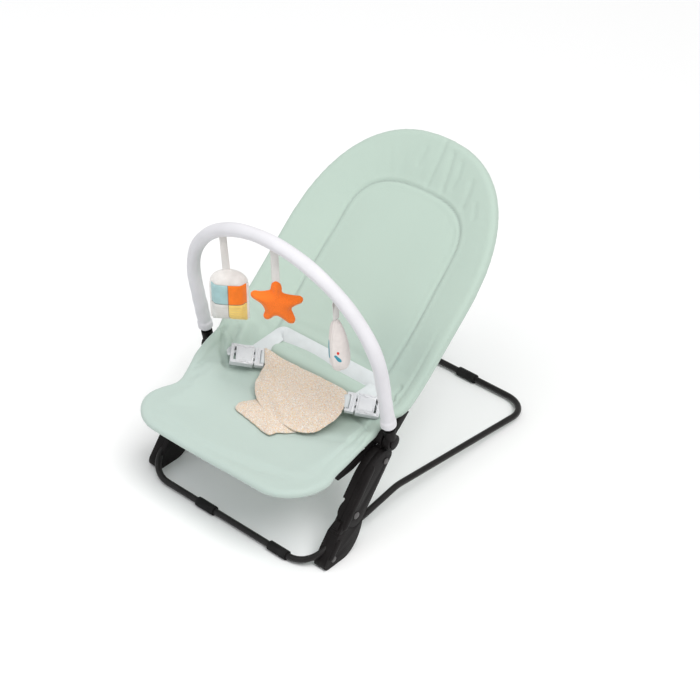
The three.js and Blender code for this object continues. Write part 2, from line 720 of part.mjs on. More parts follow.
function fishOutline() {
  const shape = new THREE.Shape();
  shape.moveTo(0, -12);
  shape.bezierCurveTo(8, -12, 18, -64, 15, -86);
  shape.bezierCurveTo(11, -112, -11, -112, -15, -86);
  shape.bezierCurveTo(-18, -64, -8, -12, 0, -12);
  shape.closePath();
  return shape;
}

function toys() {
  const shapes = {
    house: [houseOutline(), 16, 6, 'cream'],
    star: [starOutline(), 12, 5, 'orange'],
    fish: [fishOutline(), 16, 6, 'cream'],
  };
  for (const [name, [outline, halfThick, bevel, colour]] of Object.entries(shapes)) {
    addPart(`${name}_strap`, toyStrap(TOYS[name]), 'webbing');
    addPart(`${name}_toy`, hangToy(outline, TOYS[name], halfThick, bevel), colour);
  }
}

// ---------------------------------------------------------------- the whole seat
baseLoop();
for (const [name, side] of SIDES) {
  foot(name, side);
  leg(name, side);
  hub(name, side);
  foldCatch(name, side);
  seatArm(name, side);
  backBracket(name, side);
  buckle(name, side);
}
seat();
backrest();
harness();
toyBar();
toys();

export default object;
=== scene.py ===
import json
import math

import bmesh
import bpy
import numpy as np
from mathutils import Matrix, Vector
from mathutils.bvhtree import BVHTree

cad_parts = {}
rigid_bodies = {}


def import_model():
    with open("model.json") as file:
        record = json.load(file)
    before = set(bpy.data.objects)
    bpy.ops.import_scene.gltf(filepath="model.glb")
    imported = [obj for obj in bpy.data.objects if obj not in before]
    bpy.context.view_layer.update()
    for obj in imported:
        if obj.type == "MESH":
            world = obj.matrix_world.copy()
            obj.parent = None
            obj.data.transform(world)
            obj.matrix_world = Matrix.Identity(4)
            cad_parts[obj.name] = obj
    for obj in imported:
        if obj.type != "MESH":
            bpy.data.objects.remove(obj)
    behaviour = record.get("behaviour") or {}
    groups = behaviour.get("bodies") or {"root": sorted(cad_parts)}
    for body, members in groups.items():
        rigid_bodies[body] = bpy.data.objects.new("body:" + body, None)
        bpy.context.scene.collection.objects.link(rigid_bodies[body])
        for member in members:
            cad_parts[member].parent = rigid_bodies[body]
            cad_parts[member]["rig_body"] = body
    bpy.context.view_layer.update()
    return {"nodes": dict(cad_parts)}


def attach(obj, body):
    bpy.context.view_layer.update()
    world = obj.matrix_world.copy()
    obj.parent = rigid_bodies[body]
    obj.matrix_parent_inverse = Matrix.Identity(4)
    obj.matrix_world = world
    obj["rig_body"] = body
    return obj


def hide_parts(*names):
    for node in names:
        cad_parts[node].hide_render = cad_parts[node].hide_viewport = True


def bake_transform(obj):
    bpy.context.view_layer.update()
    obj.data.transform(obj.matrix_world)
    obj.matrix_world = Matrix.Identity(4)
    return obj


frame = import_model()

# A folding baby bouncer seat. Shapes are worked out in millimetres and become metres in their meshes.
MM = 0.001
SIDES = (("left", -1), ("right", 1))

HUB_Y, HUB_Z = -101.0, 189.0
SEAT_ANGLE, BACK_ANGLE, BAR_ANGLE = 3.0, 42.0, 100.0
SEAT_LEVEL, BACK_LEVEL = -5.0, -15.0

CAMERA_TARGET = Vector((0.0724, -0.040, 0.2795))
CAMERA_AZIMUTH, CAMERA_ELEVATION, CAMERA_DISTANCE = 41.756, 35.858, 3.4047
CAMERA_LENS = 99.45
LIT_CENTRE = Vector((0, 0, 0.25))     # where the softboxes aim


def linked(name, data):
    """A new object, put into the scene."""
    obj = bpy.data.objects.new(name, data)
    bpy.context.scene.collection.objects.link(obj)
    return obj


# ---------------------------------------------------------------- stage

def from_angles(azimuth, elevation):
    """The unit vector towards a viewer; azimuth 0 stands at -Y and 90 at +X."""
    a, e = math.radians(azimuth), math.radians(elevation)
    return Vector((math.sin(a) * math.cos(e), -math.cos(a) * math.cos(e), math.sin(e)))


def aim(obj, target):
    obj.rotation_euler = (target - obj.location).to_track_quat("-Z", "Y").to_euler()


def add_camera():
    data = bpy.data.cameras.new("camera")
    data.lens = CAMERA_LENS
    data.sensor_width = 36.0
    camera = linked("camera", data)
    camera.location = CAMERA_TARGET + CAMERA_DISTANCE * from_angles(CAMERA_AZIMUTH, CAMERA_ELEVATION)
    aim(camera, CAMERA_TARGET)
    bpy.context.scene.camera = camera


def add_softbox(name, azimuth, elevation, distance, size, power, colour):
    data = bpy.data.lights.new(name, "AREA")
    data.shape = "SQUARE"
    data.size = size
    data.energy = power
    data.color = colour
    light = linked(name, data)
    light.location = LIT_CENTRE + distance * from_angles(azimuth, elevation)
    aim(light, LIT_CENTRE)


def add_skylight(azimuth, elevation, spread, strength):
    """One broad directional light, which keeps the whole floor white and gives the folds their shading."""
    data = bpy.data.lights.new("skylight", "SUN")
    data.energy = strength
    data.angle = math.radians(spread)
    light = linked("skylight", data)
    light.rotation_euler = from_angles(azimuth, elevation).to_track_quat("Z", "Y").to_euler()


def add_studio():
    scene = bpy.context.scene
    scene.view_settings.view_transform = "Standard"
    scene.world = bpy.data.worlds.new("studio")
    scene.world.use_nodes = True
    background = scene.world.node_tree.nodes["Background"]
    background.inputs["Color"].default_value = (1.0, 1.0, 1.0, 1.0)
    background.inputs["Strength"].default_value = 0.53
    add_skylight(76, 58, 32, 1.7)
    add_softbox("key", 25, 74, 2.2, 1.0, 12, (1.0, 0.985, 0.95))
    add_softbox("fill", -30, 42, 2.8, 2.0, 9, (0.86, 0.94, 1.0))
    bpy.ops.mesh.primitive_plane_add(size=60, location=(0, 0, 0))
    floor = bpy.context.object
    floor.name = "floor"
    floor.data.materials.append(Look("studio_floor", (0.93, 0.93, 0.93), 0.9).material)


# ---------------------------------------------------------------- materials

class Look:
    """A procedural material in the making: its shader, and the node helpers that feed it."""

    def __init__(self, name, colour, roughness, **sockets):
        self.material = bpy.data.materials.new(name)
        self.material.use_nodes = True
        self.nodes = self.material.node_tree.nodes
        self.shader = self.nodes["Principled BSDF"]
        self.feed(self.shader, {"Base Color": (*colour, 1.0), "Roughness": roughness})
        self.feed(self.shader, {key.replace("_", " "): value for key, value in sockets.items()})
        self.place = self.make("TexCoord", {}).outputs["Object"]
        self.normal = None

    def feed(self, node, inputs):
        """Sets a node's inputs, or links them where the value is another node's output."""
        for key, value in inputs.items():
            if isinstance(value, bpy.types.NodeSocket):
                self.material.node_tree.links.new(value, node.inputs[key])
            else:
                node.inputs[key].default_value = value
        return node

    def make(self, kind, inputs):
        return self.feed(self.nodes.new("ShaderNode" + kind), inputs)

    def stretched(self, scale, turn=(0, 0, 0)):
        """Texture coordinates scaled by different amounts along the axes."""
        inputs = {"Vector": self.place, "Scale": scale, "Rotation": [math.radians(angle) for angle in turn]}
        return self.make("Mapping", inputs).outputs["Vector"]

    def noise(self, scale, detail, vector=None):
        inputs = {"Vector": vector or self.place, "Scale": scale, "Detail": detail}
        return self.make("TexNoise", inputs).outputs["Fac"]

    def bands(self, scale, axis, distortion, vector=None):
        inputs = {"Vector": vector or self.place, "Scale": scale, "Distortion": distortion}
        node = self.make("TexWave", inputs)
        node.bands_direction = axis
        return node.outputs["Fac"]

    def attribute(self, name):
        node = self.make("Attribute", {})
        node.attribute_name = name
        return node.outputs["Fac"]

    def math(self, operation, a, b=0.0):
        node = self.make("Math", {0: a, 1: b})
        node.operation = operation
        return node.outputs["Value"]

    def times(self, *factors):
        product = factors[0]
        for factor in factors[1:]:
            product = self.math("MULTIPLY", product, factor)
        return product

    def size(self, value):
        return self.math("ABSOLUTE", value)

    def ramp(self, value, low, high, start=0.0, end=1.0):
        inputs = {"Value": value, "From Min": low, "From Max": high, "To Min": start, "To Max": end}
        return self.make("MapRange", inputs).outputs["Result"]

    def above(self, value, edge, soft):
        """0 up to the edge, then 1 after a ramp of the width soft."""
        return self.ramp(value, edge, edge + soft)

    def below(self, value, edge, soft):
        return self.ramp(value, edge, edge + soft, 1.0, 0.0)

    def mix(self, factor, a, b, blend="MIX"):
        """Mixes two colours; the node's inputs 6 and 7 and its output 2 are the ones for colours."""
        a, b = ((*colour, 1.0) if isinstance(colour, tuple) else colour for colour in (a, b))
        node = self.make("Mix", {})
        node.data_type = "RGBA"
        node.blend_type = blend
        return self.feed(node, {0: factor, 6: a, 7: b}).outputs[2]

    def paint(self, colour):
        self.feed(self.shader, {"Base Color": colour})

    def cloud(self, noise, low, high, dark, light):
        """Paints a slow change from one tone to another, as the noise goes from low to high."""
        self.paint(self.mix(self.ramp(noise, low, high), dark, light))

    def rough(self, value, low, high):
        self.feed(self.shader, {"Roughness": self.ramp(value, 0.0, 1.0, low, high)})

    def bump(self, height, distance, strength=1.0):
        """Adds relief; distance is how high the pattern stands, in metres."""
        inputs = {"Height": height, "Distance": distance, "Strength": strength}
        if self.normal is not None:
            inputs["Normal"] = self.normal
        self.normal = self.make("Bump", inputs).outputs["Normal"]
        self.feed(self.shader, {"Normal": self.normal})


def shade(colour, factor):
    return tuple(c * factor for c in colour)


def painted_steel():
    look = Look("painted_steel", (0.009, 0.008, 0.008), 0.46,
                Specular_IOR_Level=0.2, Coat_Weight=0.18, Coat_Roughness=0.35)
    look.bump(look.noise(900, 3), 0.00012)
    wear = look.noise(60, 4)
    look.rough(wear, 0.34, 0.52)
    look.cloud(wear, 0.35, 0.75, (0.007, 0.006, 0.006), (0.014, 0.012, 0.012))
    return look.material


def black_rubber():
    look = Look("black_rubber", (0.009, 0.009, 0.009), 0.72, Specular_IOR_Level=0.15)
    look.bump(look.noise(1400, 2), 0.00015)
    look.cloud(look.noise(45, 5), 0.4, 0.8, (0.010, 0.010, 0.010), (0.020, 0.019, 0.019))
    return look.material


def black_moulding():
    look = Look("black_moulding", (0.005, 0.004, 0.004), 0.55, Specular_IOR_Level=0.14)
    look.bump(look.noise(1700, 2), 0.00018)
    cloud = look.noise(38, 4)
    look.rough(cloud, 0.40, 0.60)
    look.cloud(cloud, 0.3, 0.8, (0.006, 0.005, 0.005), (0.012, 0.010, 0.010))
    return look.material


def dark_rivet():
    look = Look("dark_rivet", (0.12, 0.115, 0.115), 0.35, Metallic=1.0)
    scratches = look.noise(500, 3, look.stretched((1, 0.15, 1)))
    look.rough(scratches, 0.25, 0.5)
    look.bump(scratches, 0.00005)
    return look.material


def white_moulding():
    look = Look("white_moulding", (0.63, 0.64, 0.66), 0.32, Coat_Weight=0.2, Coat_Roughness=0.15)
    look.bump(look.noise(700, 2), 0.00004)
    cloud = look.noise(90, 3)
    look.rough(cloud, 0.22, 0.36)
    look.paint(look.mix(cloud, (0.61, 0.62, 0.64), (0.67, 0.68, 0.70)))
    return look.material


MINT = (0.52, 0.625, 0.575)
# The mint tinted warmer and greener: painted light, for the warmer light that falls on the back and hips.
MINT_WARM_LIT = (0.503, 0.622, 0.546)


def knit(look, pitch, relief):
    """A fine jersey: wales and courses at right angles, softened by the yarn's own noise."""
    per_metre = 0.5 / pitch
    wales = look.bands(per_metre, "X", 0.6)
    courses = look.bands(per_metre * 1.2, "Y", 0.6)
    yarn = look.noise(1.2 / pitch, 2)
    fabric = look.math("ADD", look.times(wales, courses), look.times(yarn, 0.8))
    look.bump(fabric, relief, 0.6)
    return fabric


def mint_jersey():
    look = Look("mint_jersey", MINT, 0.82, Sheen_Weight=0.25, Sheen_Roughness=0.5)
    yarn = knit(look, 0.0011, 0.00010)
    cloud = look.noise(9, 3)
    slub = look.noise(420, 2, look.stretched((1, 0.25, 0.25)))
    tone = look.mix(look.ramp(cloud, 0.3, 0.7), shade(MINT, 0.965), shade(MINT, 1.03))
    tone = look.mix(look.ramp(slub, 0.35, 0.75, 0.0, 0.35), tone, shade(MINT, 1.10))
    tone = look.mix(look.ramp(yarn, 0.2, 1.2, 0.0, 0.25), shade(MINT, 0.85), tone)
    # Painted light: the back and hips are tinted warmer and greener, standing in for a warmer light on them.
    warm_light_tint = tuple(b / a for a, b in zip(MINT, MINT_WARM_LIT))
    tone = look.mix(look.attribute("upright"), tone, look.mix(1.0, tone, warm_light_tint, "MULTIPLY"))
    # Painted shade: the lower back, towards the right, is darkened.
    tone = look.mix(look.attribute("shaded"), tone, look.mix(1.0, tone, (0.87, 0.88, 0.89), "MULTIPLY"))
    # Dark stitch lines, with a little painted shade along the creases.
    look.paint(look.mix(look.times(look.attribute("seam"), 0.6), tone, shade(MINT, 0.5)))
    return look.material


def bar_cloth():
    white = (0.70, 0.69, 0.72)
    look = Look("bar_cloth", white, 0.8, Sheen_Weight=0.2, Sheen_Roughness=0.4)
    look.bump(look.noise(1300, 2), 0.00012, 0.7)
    look.cloud(look.noise(24, 3), 0.3, 0.7, shade(white, 0.96), shade(white, 1.02))
    return look.material


def white_webbing(name, white):
    look = Look(name, white, 0.7, Sheen_Weight=0.2, Sheen_Roughness=0.4)
    slanted = look.stretched((1, 1, 1), (0, 0, 45))
    ribs, cross = (look.bands(260, axis, 0.4, slanted) for axis in "XY")
    look.bump(look.times(ribs, cross), 0.0002, 0.8)
    look.cloud(look.noise(60, 3), 0.3, 0.7, shade(white, 0.95), shade(white, 1.02))
    return look.material


def speckled_cotton():
    cream = (0.66, 0.565, 0.475)
    look = Look("speckled_cotton", cream, 0.85, Sheen_Weight=0.15, Sheen_Roughness=0.5)
    look.bump(look.noise(1100, 2), 0.00014, 0.7)
    tone = cream
    flecks = (
        ((0.66, 0.30, 0.13), 330, (1.3, 1, 1), 0.20),
        ((0.70, 0.50, 0.17), 300, (1, 1.25, 1), 0.20),
        ((0.36, 0.37, 0.38), 350, (1, 1, 1.2), 0.19),
        ((0.72, 0.70, 0.67), 270, (0.8, 1, 1), 0.22),
    )
    for colour, scale, stretch, size in flecks:
        place = look.stretched(stretch)
        cells = look.make("TexVoronoi", {"Vector": place, "Scale": scale, "Randomness": 1.0})
        spot = look.ramp(cells.outputs["Distance"], size, size + 0.12, 0.85, 0.0)
        tone = look.mix(spot, tone, colour)
    look.paint(tone)
    return look.material


def plush(name, colour):
    look = Look(name, colour, 0.95, Sheen_Weight=0.6, Sheen_Roughness=0.35)
    look.feed(look.shader, {"Sheen Tint": (1.0, 0.62, 0.36, 1.0)})
    pile = look.noise(900, 4)
    look.bump(pile, 0.0007, 0.9)
    look.cloud(pile, 0.3, 0.7, shade(colour, 0.86), shade(colour, 1.08))
    return look.material


# ---------------------------------------------------------------- meshes

def new_mesh(name, points, faces, material):
    """A mesh object from points in millimetres."""
    mesh = bpy.data.meshes.new(name)
    mesh.from_pydata([metres(*p) for p in points], [], faces)
    mesh.materials.append(material)
    mesh.shade_smooth()
    mesh.update()
    return linked(name, mesh)


def modified(obj, kind, **settings):
    """Adds one modifier and applies it."""
    modifier = obj.modifiers.new("change", kind)
    for key, value in settings.items():
        setattr(modifier, key, value)
    bpy.context.view_layer.update()
    graph = bpy.context.evaluated_depsgraph_get()
    mesh = bpy.data.meshes.new_from_object(obj.evaluated_get(graph))
    obj.modifiers.clear()
    obj.data = mesh
    return obj


def coordinates(obj):
    flat = np.empty(len(obj.data.vertices) * 3)
    obj.data.vertices.foreach_get("co", flat)
    return flat.reshape(-1, 3)


def set_coordinates(obj, points):
    obj.data.vertices.foreach_set("co", points.astype(np.float32).ravel())
    obj.data.update()


def press(obj, height):
    """Moves the surface along its normals by height millimetres."""
    normals = np.empty(len(obj.data.vertices) * 3)
    obj.data.vertices.foreach_get("normal", normals)
    set_coordinates(obj, coordinates(obj) + normals.reshape(-1, 3) * height[:, None] * MM)


def store(obj, **values):
    """Keeps numbers with the mesh's points, where later steps and the materials find them."""
    for name, numbers in values.items():
        attribute = obj.data.attributes.get(name) or obj.data.attributes.new(name, "FLOAT", "POINT")
        attribute.data.foreach_set("value", np.asarray(numbers, np.float32))


def stored(obj, *names):
    result = np.empty((len(names), len(obj.data.vertices)), np.float32)
    for row, name in zip(result, names):
        obj.data.attributes[name].data.foreach_get("value", row)
    return result.astype(float)


def remesh(obj, voxel):
    return modified(obj, "REMESH", mode="VOXEL", voxel_size=voxel * MM, use_smooth_shade=True)


def smooth(obj, steps, factor=0.5):
    return modified(obj, "SMOOTH", factor=factor, iterations=steps)


def subdivide(obj):
    return modified(obj, "SUBSURF", levels=1, render_levels=1)


def step(value, low, high):
    """A smooth step from 0 at low to 1 at high."""
    t = np.clip((np.asarray(value, float) - low) / (high - low), 0, 1)
    return t * t * (3 - 2 * t)


def bell(value, centre, width):
    return np.exp(-(((np.asarray(value, float) - centre) / width) ** 2))


CLOTH = {
    "quality": 6, "mass": 0.2, "tension_stiffness": 12, "compression_stiffness": 12, "bending_stiffness": 0.3,
    "use_pressure": True, "vertex_group_mass": "pinned",
}
CLOTH_FRAMES = 20


def inflate(obj, pressure, cap, pinned):
    """Swells the mesh as cloth under air pressure; no point moves more than cap millimetres."""
    start = coordinates(obj)
    group = obj.vertex_groups.new(name="pinned")
    for index, weight in enumerate(pinned):
        if weight > 0.01:
            group.add([index], float(weight), "REPLACE")
    settings = obj.modifiers.new("cloth", "CLOTH").settings
    for key, value in CLOTH.items():
        setattr(settings, key, value)
    settings.uniform_pressure_force = pressure
    settings.effector_weights.gravity = 0.0
    scene = bpy.context.scene
    for number in range(1, CLOTH_FRAMES + 1):
        scene.frame_set(number)
    shift = coordinates(obj.evaluated_get(bpy.context.evaluated_depsgraph_get())) - start
    length = np.linalg.norm(shift, axis=1, keepdims=True)
    shift *= np.minimum(1.0, cap * MM / np.maximum(length, 1e-9))
    obj.modifiers.clear()
    obj.vertex_groups.clear()
    scene.frame_set(1)
    set_coordinates(obj, start + shift)


def frames_along(path, up=None):
    """The side and the normal at each point of an open path; they don't twist unless up says so."""
    ahead = np.vstack([path[1:], path[-1:]])
    behind = np.vstack([path[:1], path[:-1]])
    tangent = ahead - behind
    tangent /= np.linalg.norm(tangent, axis=1, keepdims=True)
    side = np.empty_like(path)
    start = (0, 0, 1) if abs(tangent[0][2]) < 0.9 else (1, 0, 0)
    references = np.broadcast_to(np.array(start if up is None else up, float), path.shape)
    for i in range(len(path)):
        reference = normal if up is None and i else references[i]
        across = np.cross(reference, tangent[i])
        across /= np.linalg.norm(across)
        normal = np.cross(tangent[i], across)
        side[i] = across
    return side, np.cross(tangent, side)


def sweep(name, path, section, material, up=None, scale=None):
    """Carries a closed section of (side, normal) points along an open path, and caps its ends.

    The section may be one list of points, or one list for every point of the path.
    """
    path = np.asarray(path, float)
    section = np.asarray(section, float)
    side, normal = frames_along(path, up)
    sizes = np.ones(len(path)) if scale is None else np.asarray(scale, float)
    sections = (section if section.ndim == 3 else section[None]) * sizes[:, None, None]
    rings = path[:, None] + side[:, None] * sections[..., 0:1] + normal[:, None] * sections[..., 1:2]
    count = sections.shape[1]
    faces = ring_faces(0, len(path), count)
    faces.append(tuple(reversed(range(count))))
    faces.append(tuple(range((len(path) - 1) * count, len(path) * count)))
    return new_mesh(name, rings.reshape(-1, 3), faces, material)


def ring_faces(first, rings, count):
    """The side faces between rings of count points, whose first point has the index first."""
    faces = []
    for a in range(first, first + (rings - 1) * count, count):
        for j in range(count):
            k = (j + 1) % count
            faces.append((a + j, a + k, a + count + k, a + count + j))
    return faces


def ring(radius, count=24):
    angles = [2 * math.pi * i / count for i in range(count)]
    return [(radius * math.cos(a), radius * math.sin(a)) for a in angles]


def rounded_bar(half_width, half_height, radius, steps=4):
    """The section of a flat strap or bar with rounded corners."""
    points = []
    for corner, (sx, sy) in enumerate(((1, 1), (-1, 1), (-1, -1), (1, -1))):
        for i in range(steps + 1):
            angle = math.pi / 2 * (corner + i / steps)
            points.append((
                sx * (half_width - radius) + radius * math.cos(angle),
                sy * (half_height - radius) + radius * math.sin(angle),
            ))
    return points


def bent_route(corners, radii, steps=10):
    """A path through corner points whose inner corners are rounded to the given radii."""
    corners = [Vector(c) for c in corners]
    path = [corners[0]]
    for i, radius in enumerate(radii, 1):
        into = (corners[i] - corners[i - 1]).normalized()
        out = (corners[i + 1] - corners[i]).normalized()
        turn = into.angle(out)
        back_off = radius * math.tan(turn / 2)
        first = corners[i] - into * back_off
        inward = (out - into * into.dot(out)).normalized()
        for k in range(steps + 1):
            angle = turn * k / steps
            path.append(first + into * radius * math.sin(angle) + inward * radius * (1 - math.cos(angle)))
    path.append(corners[-1])
    return path


def resampled(path, spacing):
    """A path with evenly spaced points; columns after the third are carried along with it."""
    path = np.asarray(path, float)
    gaps = np.linalg.norm(np.diff(path, axis=0), axis=1)
    path = path[np.concatenate([[True], gaps > 1e-6])]
    length = np.concatenate([[0], np.cumsum(np.linalg.norm(np.diff(path, axis=0), axis=1))])
    count = max(2, int(round(length[-1] / spacing)) + 1)
    marks = np.linspace(0, length[-1], count)
    return np.stack([np.interp(marks, length, column) for column in path.T], axis=1)


def on_hub(x, along, off, angle):
    """Points given along and above a plane that turns about the hub axis."""
    a = math.radians(angle)
    x, along, off = np.broadcast_arrays(np.asarray(x, float), along, off)
    y = HUB_Y + along * math.cos(a) - off * math.sin(a)
    z = HUB_Z + along * math.sin(a) + off * math.cos(a)
    return np.stack([x, y, z], axis=-1)


def metres(*point):
    return tuple(c * MM for c in point)


def placed(piece, body, slot, *nodes):
    """A finished piece: it rides on its body and stands for its CAD nodes; the slot is not used."""
    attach(piece, body)
    if nodes:
        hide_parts(*nodes)
    return piece


def refined(node, material, slot, bevel):
    """A hard part in its CAD shape, with its edges rounded as a moulding's are."""
    obj = linked(node + "_part", frame["nodes"][node].data.copy())
    mesh = bmesh.new()
    mesh.from_mesh(obj.data)
    bmesh.ops.remove_doubles(mesh, verts=mesh.verts, dist=0.02 * MM)
    bmesh.ops.dissolve_limit(mesh, angle_limit=math.radians(1), verts=mesh.verts, edges=mesh.edges)
    mesh.to_mesh(obj.data)
    mesh.free()
    normals = obj.data.attributes.get("custom_normal")
    if normals is not None:
        obj.data.attributes.remove(normals)
    modified(obj, "BEVEL", width=bevel * MM, segments=2, limit_method="ANGLE",
             angle_limit=math.radians(28), harden_normals=False)
    obj.data.materials.clear()
    obj.data.materials.append(material)
    obj.data.shade_smooth()
    obj.data.set_sharp_from_angle(angle=math.radians(40))
    placed(obj, frame["nodes"][node]["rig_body"], slot, node)


# ---------------------------------------------------------------- base, legs and hubs

TUBE_R, RAIL_X = 6.0, 205


def mirrored(corners):
    return list(corners) + [(-x, y, z) for x, y, z in reversed(corners)]


def base_tubes(steel, rubber):
    x = RAIL_X
    front = [(x, -212, 45), (x, -230, 45), (x, -290, 9)]
    rear = [(x, -209, 45), (x, -153, 45), (x, -63, 58), (x, 330, 9)]
    front = bent_route(mirrored(front), [20, 54, 54, 20])
    rear = bent_route(mirrored(rear), [60, 80, 55, 55, 80, 60])
    for name, route in (("front_base_tube", front), ("rear_base_tube", rear)):
        tube = sweep(name + "_part", resampled(route, 5), ring(TUBE_R), steel)
        placed(tube, "base", "frame_steel", name)
    for end in ("front", "rear"):
        for side, _ in SIDES:
            refined(f"{end}_sleeve_{side}", rubber, "rubber", 0.9)


def hard_parts(plastic, rivet):
    mouldings = {
        "foot_outer": 1.6, "foot_inner": 1.2, "leg_outer": 2.2, "leg_inner": 1.2, "hub_housing": 1.2,
        "fold_catch": 0.8, "seat_arm": 1.0, "back_bracket": 1.2, "toy_bar_plug": 0.8,
        "toy_bar_collar": 1.0, "recline_button": 1.0,
    }
    for name, bevel in mouldings.items():
        for side, _ in SIDES:
            refined(f"{name}_{side}", plastic, "black_plastic", bevel)
    for name in ("foot_screw", "fold_pin", "leg_screw", "hub_axle"):
        for side, _ in SIDES:
            refined(f"{name}_{side}", rivet, "fastener_steel", 0.5)


# ---------------------------------------------------------------- the sling cover
# The cover is cut flat: x across and s along it, from the seat's front over the bend and up the back.

BEND_RADIUS = 60.0
ROLL_R = 9.0                          # the padded edge, with the tube inside
HALF_TURN = math.radians((BACK_ANGLE - SEAT_ANGLE) / 2)
TANGENT = BEND_RADIUS * math.tan(HALF_TURN)
HALF_ARC = BEND_RADIUS * HALF_TURN


def ahead(angle):
    return np.array([math.cos(math.radians(angle)), math.sin(math.radians(angle))])


def above(angle):
    return np.array([-math.sin(math.radians(angle)), math.cos(math.radians(angle))])


CORNER_SEAT, CORNER_BACK = np.linalg.solve(
    np.column_stack([ahead(SEAT_ANGLE), -ahead(BACK_ANGLE)]),
    BACK_LEVEL * above(BACK_ANGLE) - SEAT_LEVEL * above(SEAT_ANGLE))


def seat_s(along):
    """The place on the flat cover of a point this far from the hub along the seat."""
    return along - CORNER_SEAT + TANGENT - HALF_ARC


def back_s(along):
    return along - CORNER_BACK - TANGENT + HALF_ARC


def sling(x, s, off):
    """Carries points of the flat cover to the seat, round the bend and up the back."""
    x, s, off = np.broadcast_arrays(np.asarray(x, float), s, off)
    turn = math.radians(SEAT_ANGLE) + np.clip((s + HALF_ARC) / BEND_RADIUS, 0, 2 * HALF_TURN)
    start = (
        np.array([HUB_Y, HUB_Z])
        + (CORNER_SEAT - TANGENT) * ahead(SEAT_ANGLE)
        + (SEAT_LEVEL + BEND_RADIUS) * above(SEAT_ANGLE)
    )
    before = np.minimum(s + HALF_ARC, 0)
    after = np.maximum(s - HALF_ARC, 0)
    radius = off - BEND_RADIUS
    y = start[0] + before * ahead(SEAT_ANGLE)[0] + after * ahead(BACK_ANGLE)[0] - radius * np.sin(turn)
    z = start[1] + before * ahead(SEAT_ANGLE)[1] + after * ahead(BACK_ANGLE)[1] + radius * np.cos(turn)
    return np.stack([x, y, z], axis=-1)


def bezier(points, count):
    """Points of a Bezier curve of any degree, without its first point."""
    result = []
    for k in range(1, count + 1):
        work = [np.array(p, float) for p in points]
        while len(work) > 1:
            work = [a + (b - a) * k / count for a, b in zip(work, work[1:])]
        result.append(tuple(work[0]))
    return result


def rounded_top(half, straight, rise, power, count):
    """A quarter of a squarish oval, from the right edge of the back up to its top."""
    turns = [math.pi / 2 * k / count for k in range(count + 1)]
    return [
        (half * math.cos(turn) ** (2 / power), back_s(straight + rise * math.sin(turn) ** (2 / power)))
        for turn in turns]


def half_outline():
    """The right half of the flat cover's outline, from the seat's front to the top of the back."""
    front, lobe, corner = seat_s(-236.5), 211.0, 84.0
    rear = seat_s(-146)
    points = [(0, front), (lobe - corner, front)]
    points += bezier([
        points[-1], (lobe - 0.45 * corner, front), (lobe, front + 0.45 * corner), (lobe, rear)], 14)
    points += bezier([points[-1], (lobe - 1, rear + 14), (205, rear + 14), (203, rear + 34)], 5)
    points += [(201, seat_s(-60)), (200, 0), (201, back_s(22))]
    points += bezier([points[-1], (203, back_s(42)), (213, back_s(42)), (215, back_s(62))], 8)
    return points + rounded_top(216.0, 261.0, 271.0, 2.3, 30)


def closed_outline(half):
    """Both halves; the left hip is drawn in a little further than the right one."""
    drawn = [x * (1 - 0.10 * math.exp(-(((s - seat_s(-122)) / 42) ** 2))) for x, s in half]
    return half + [(-x, s) for x, (_, s) in reversed(list(zip(drawn, half))[1:-1])]


def nearest_on(line, points):
    """For 2D points: distance to an open line, the nearest place on it, and its direction there."""
    best = np.full(len(points), np.inf)
    foot, way = np.zeros((2, len(points), 2))
    for a, b in zip(line, line[1:]):
        span = np.subtract(b, a).astype(float)
        size = np.linalg.norm(span)
        if size < 1e-6:
            continue
        t = np.clip(((points - np.array(a, float)) @ span) / size ** 2, 0, 1)
        place = np.array(a, float) + t[:, None] * span
        gap = np.linalg.norm(points - place, axis=1)
        closer = gap < best
        best[closer] = gap[closer]
        foot[closer] = place[closer]
        way[closer] = span / size
    return best, foot, way


def cover_lift(x, s, d):
    """The cover's edge runs straight from seat to back across the corner, so it stands up at the hips."""
    forward = np.exp(-(np.abs(s) / 90) ** 2.6)
    height = np.where(x < 0, 43.0, 17.0) * np.where(s < 0, forward, bell(s, 0, 60))
    return height * (1 - step(d, 6, np.where(x < 0, 92.0, 60.0)))


def cover_sag(s, d):
    seat = 5 * step(d, 20, 100) * (1 - step(s, -60, 0))
    back = 13 * step(d, 22, 105) * step(s, -10, 110)
    return seat + back


def panel_line():
    """The stitched line on the back, open at the bottom, where the belt hides its ends."""
    half, shift = 127.0, 7.0
    right = [(half - 2 + shift, back_s(66)), (half + 4 + shift, back_s(200))]
    right += [(x + shift, s) for x, s in rounded_top(half, 322.0, 106.0, 2.7, 20)]
    return right + [(2 * shift - x, s) for x, s in reversed(right[:-1])]


def slab(name, outline, roll, voxel, material):
    """A flat slab with a round edge of radius roll: the object, its outline places, heights and insets."""
    count = len(outline)
    points = [(x, s, off) for off in (-roll, roll) for x, s in outline]
    faces = [tuple(reversed(range(count))), tuple(range(count, 2 * count))]
    faces += [(i, (i + 1) % count, count + (i + 1) % count, count + i) for i in range(count)]
    obj = remesh(new_mesh(name, points, faces, material), voxel)
    flat = coordinates(obj) / MM
    inset, foot, way = nearest_on(outline + outline[:1], flat[:, :2])
    outward = np.stack([way[:, 1], -way[:, 0]], axis=1)
    beyond = roll - inset
    reach = np.maximum(np.hypot(beyond, flat[:, 2]), 1e-6)
    edge = beyond > 0
    centre = foot - outward * roll
    places = np.where(edge[:, None], centre + outward * (roll * beyond / reach)[:, None], flat[:, :2])
    off = np.where(edge, roll * flat[:, 2] / reach, np.sign(flat[:, 2]) * roll)
    return obj, places, off, inset


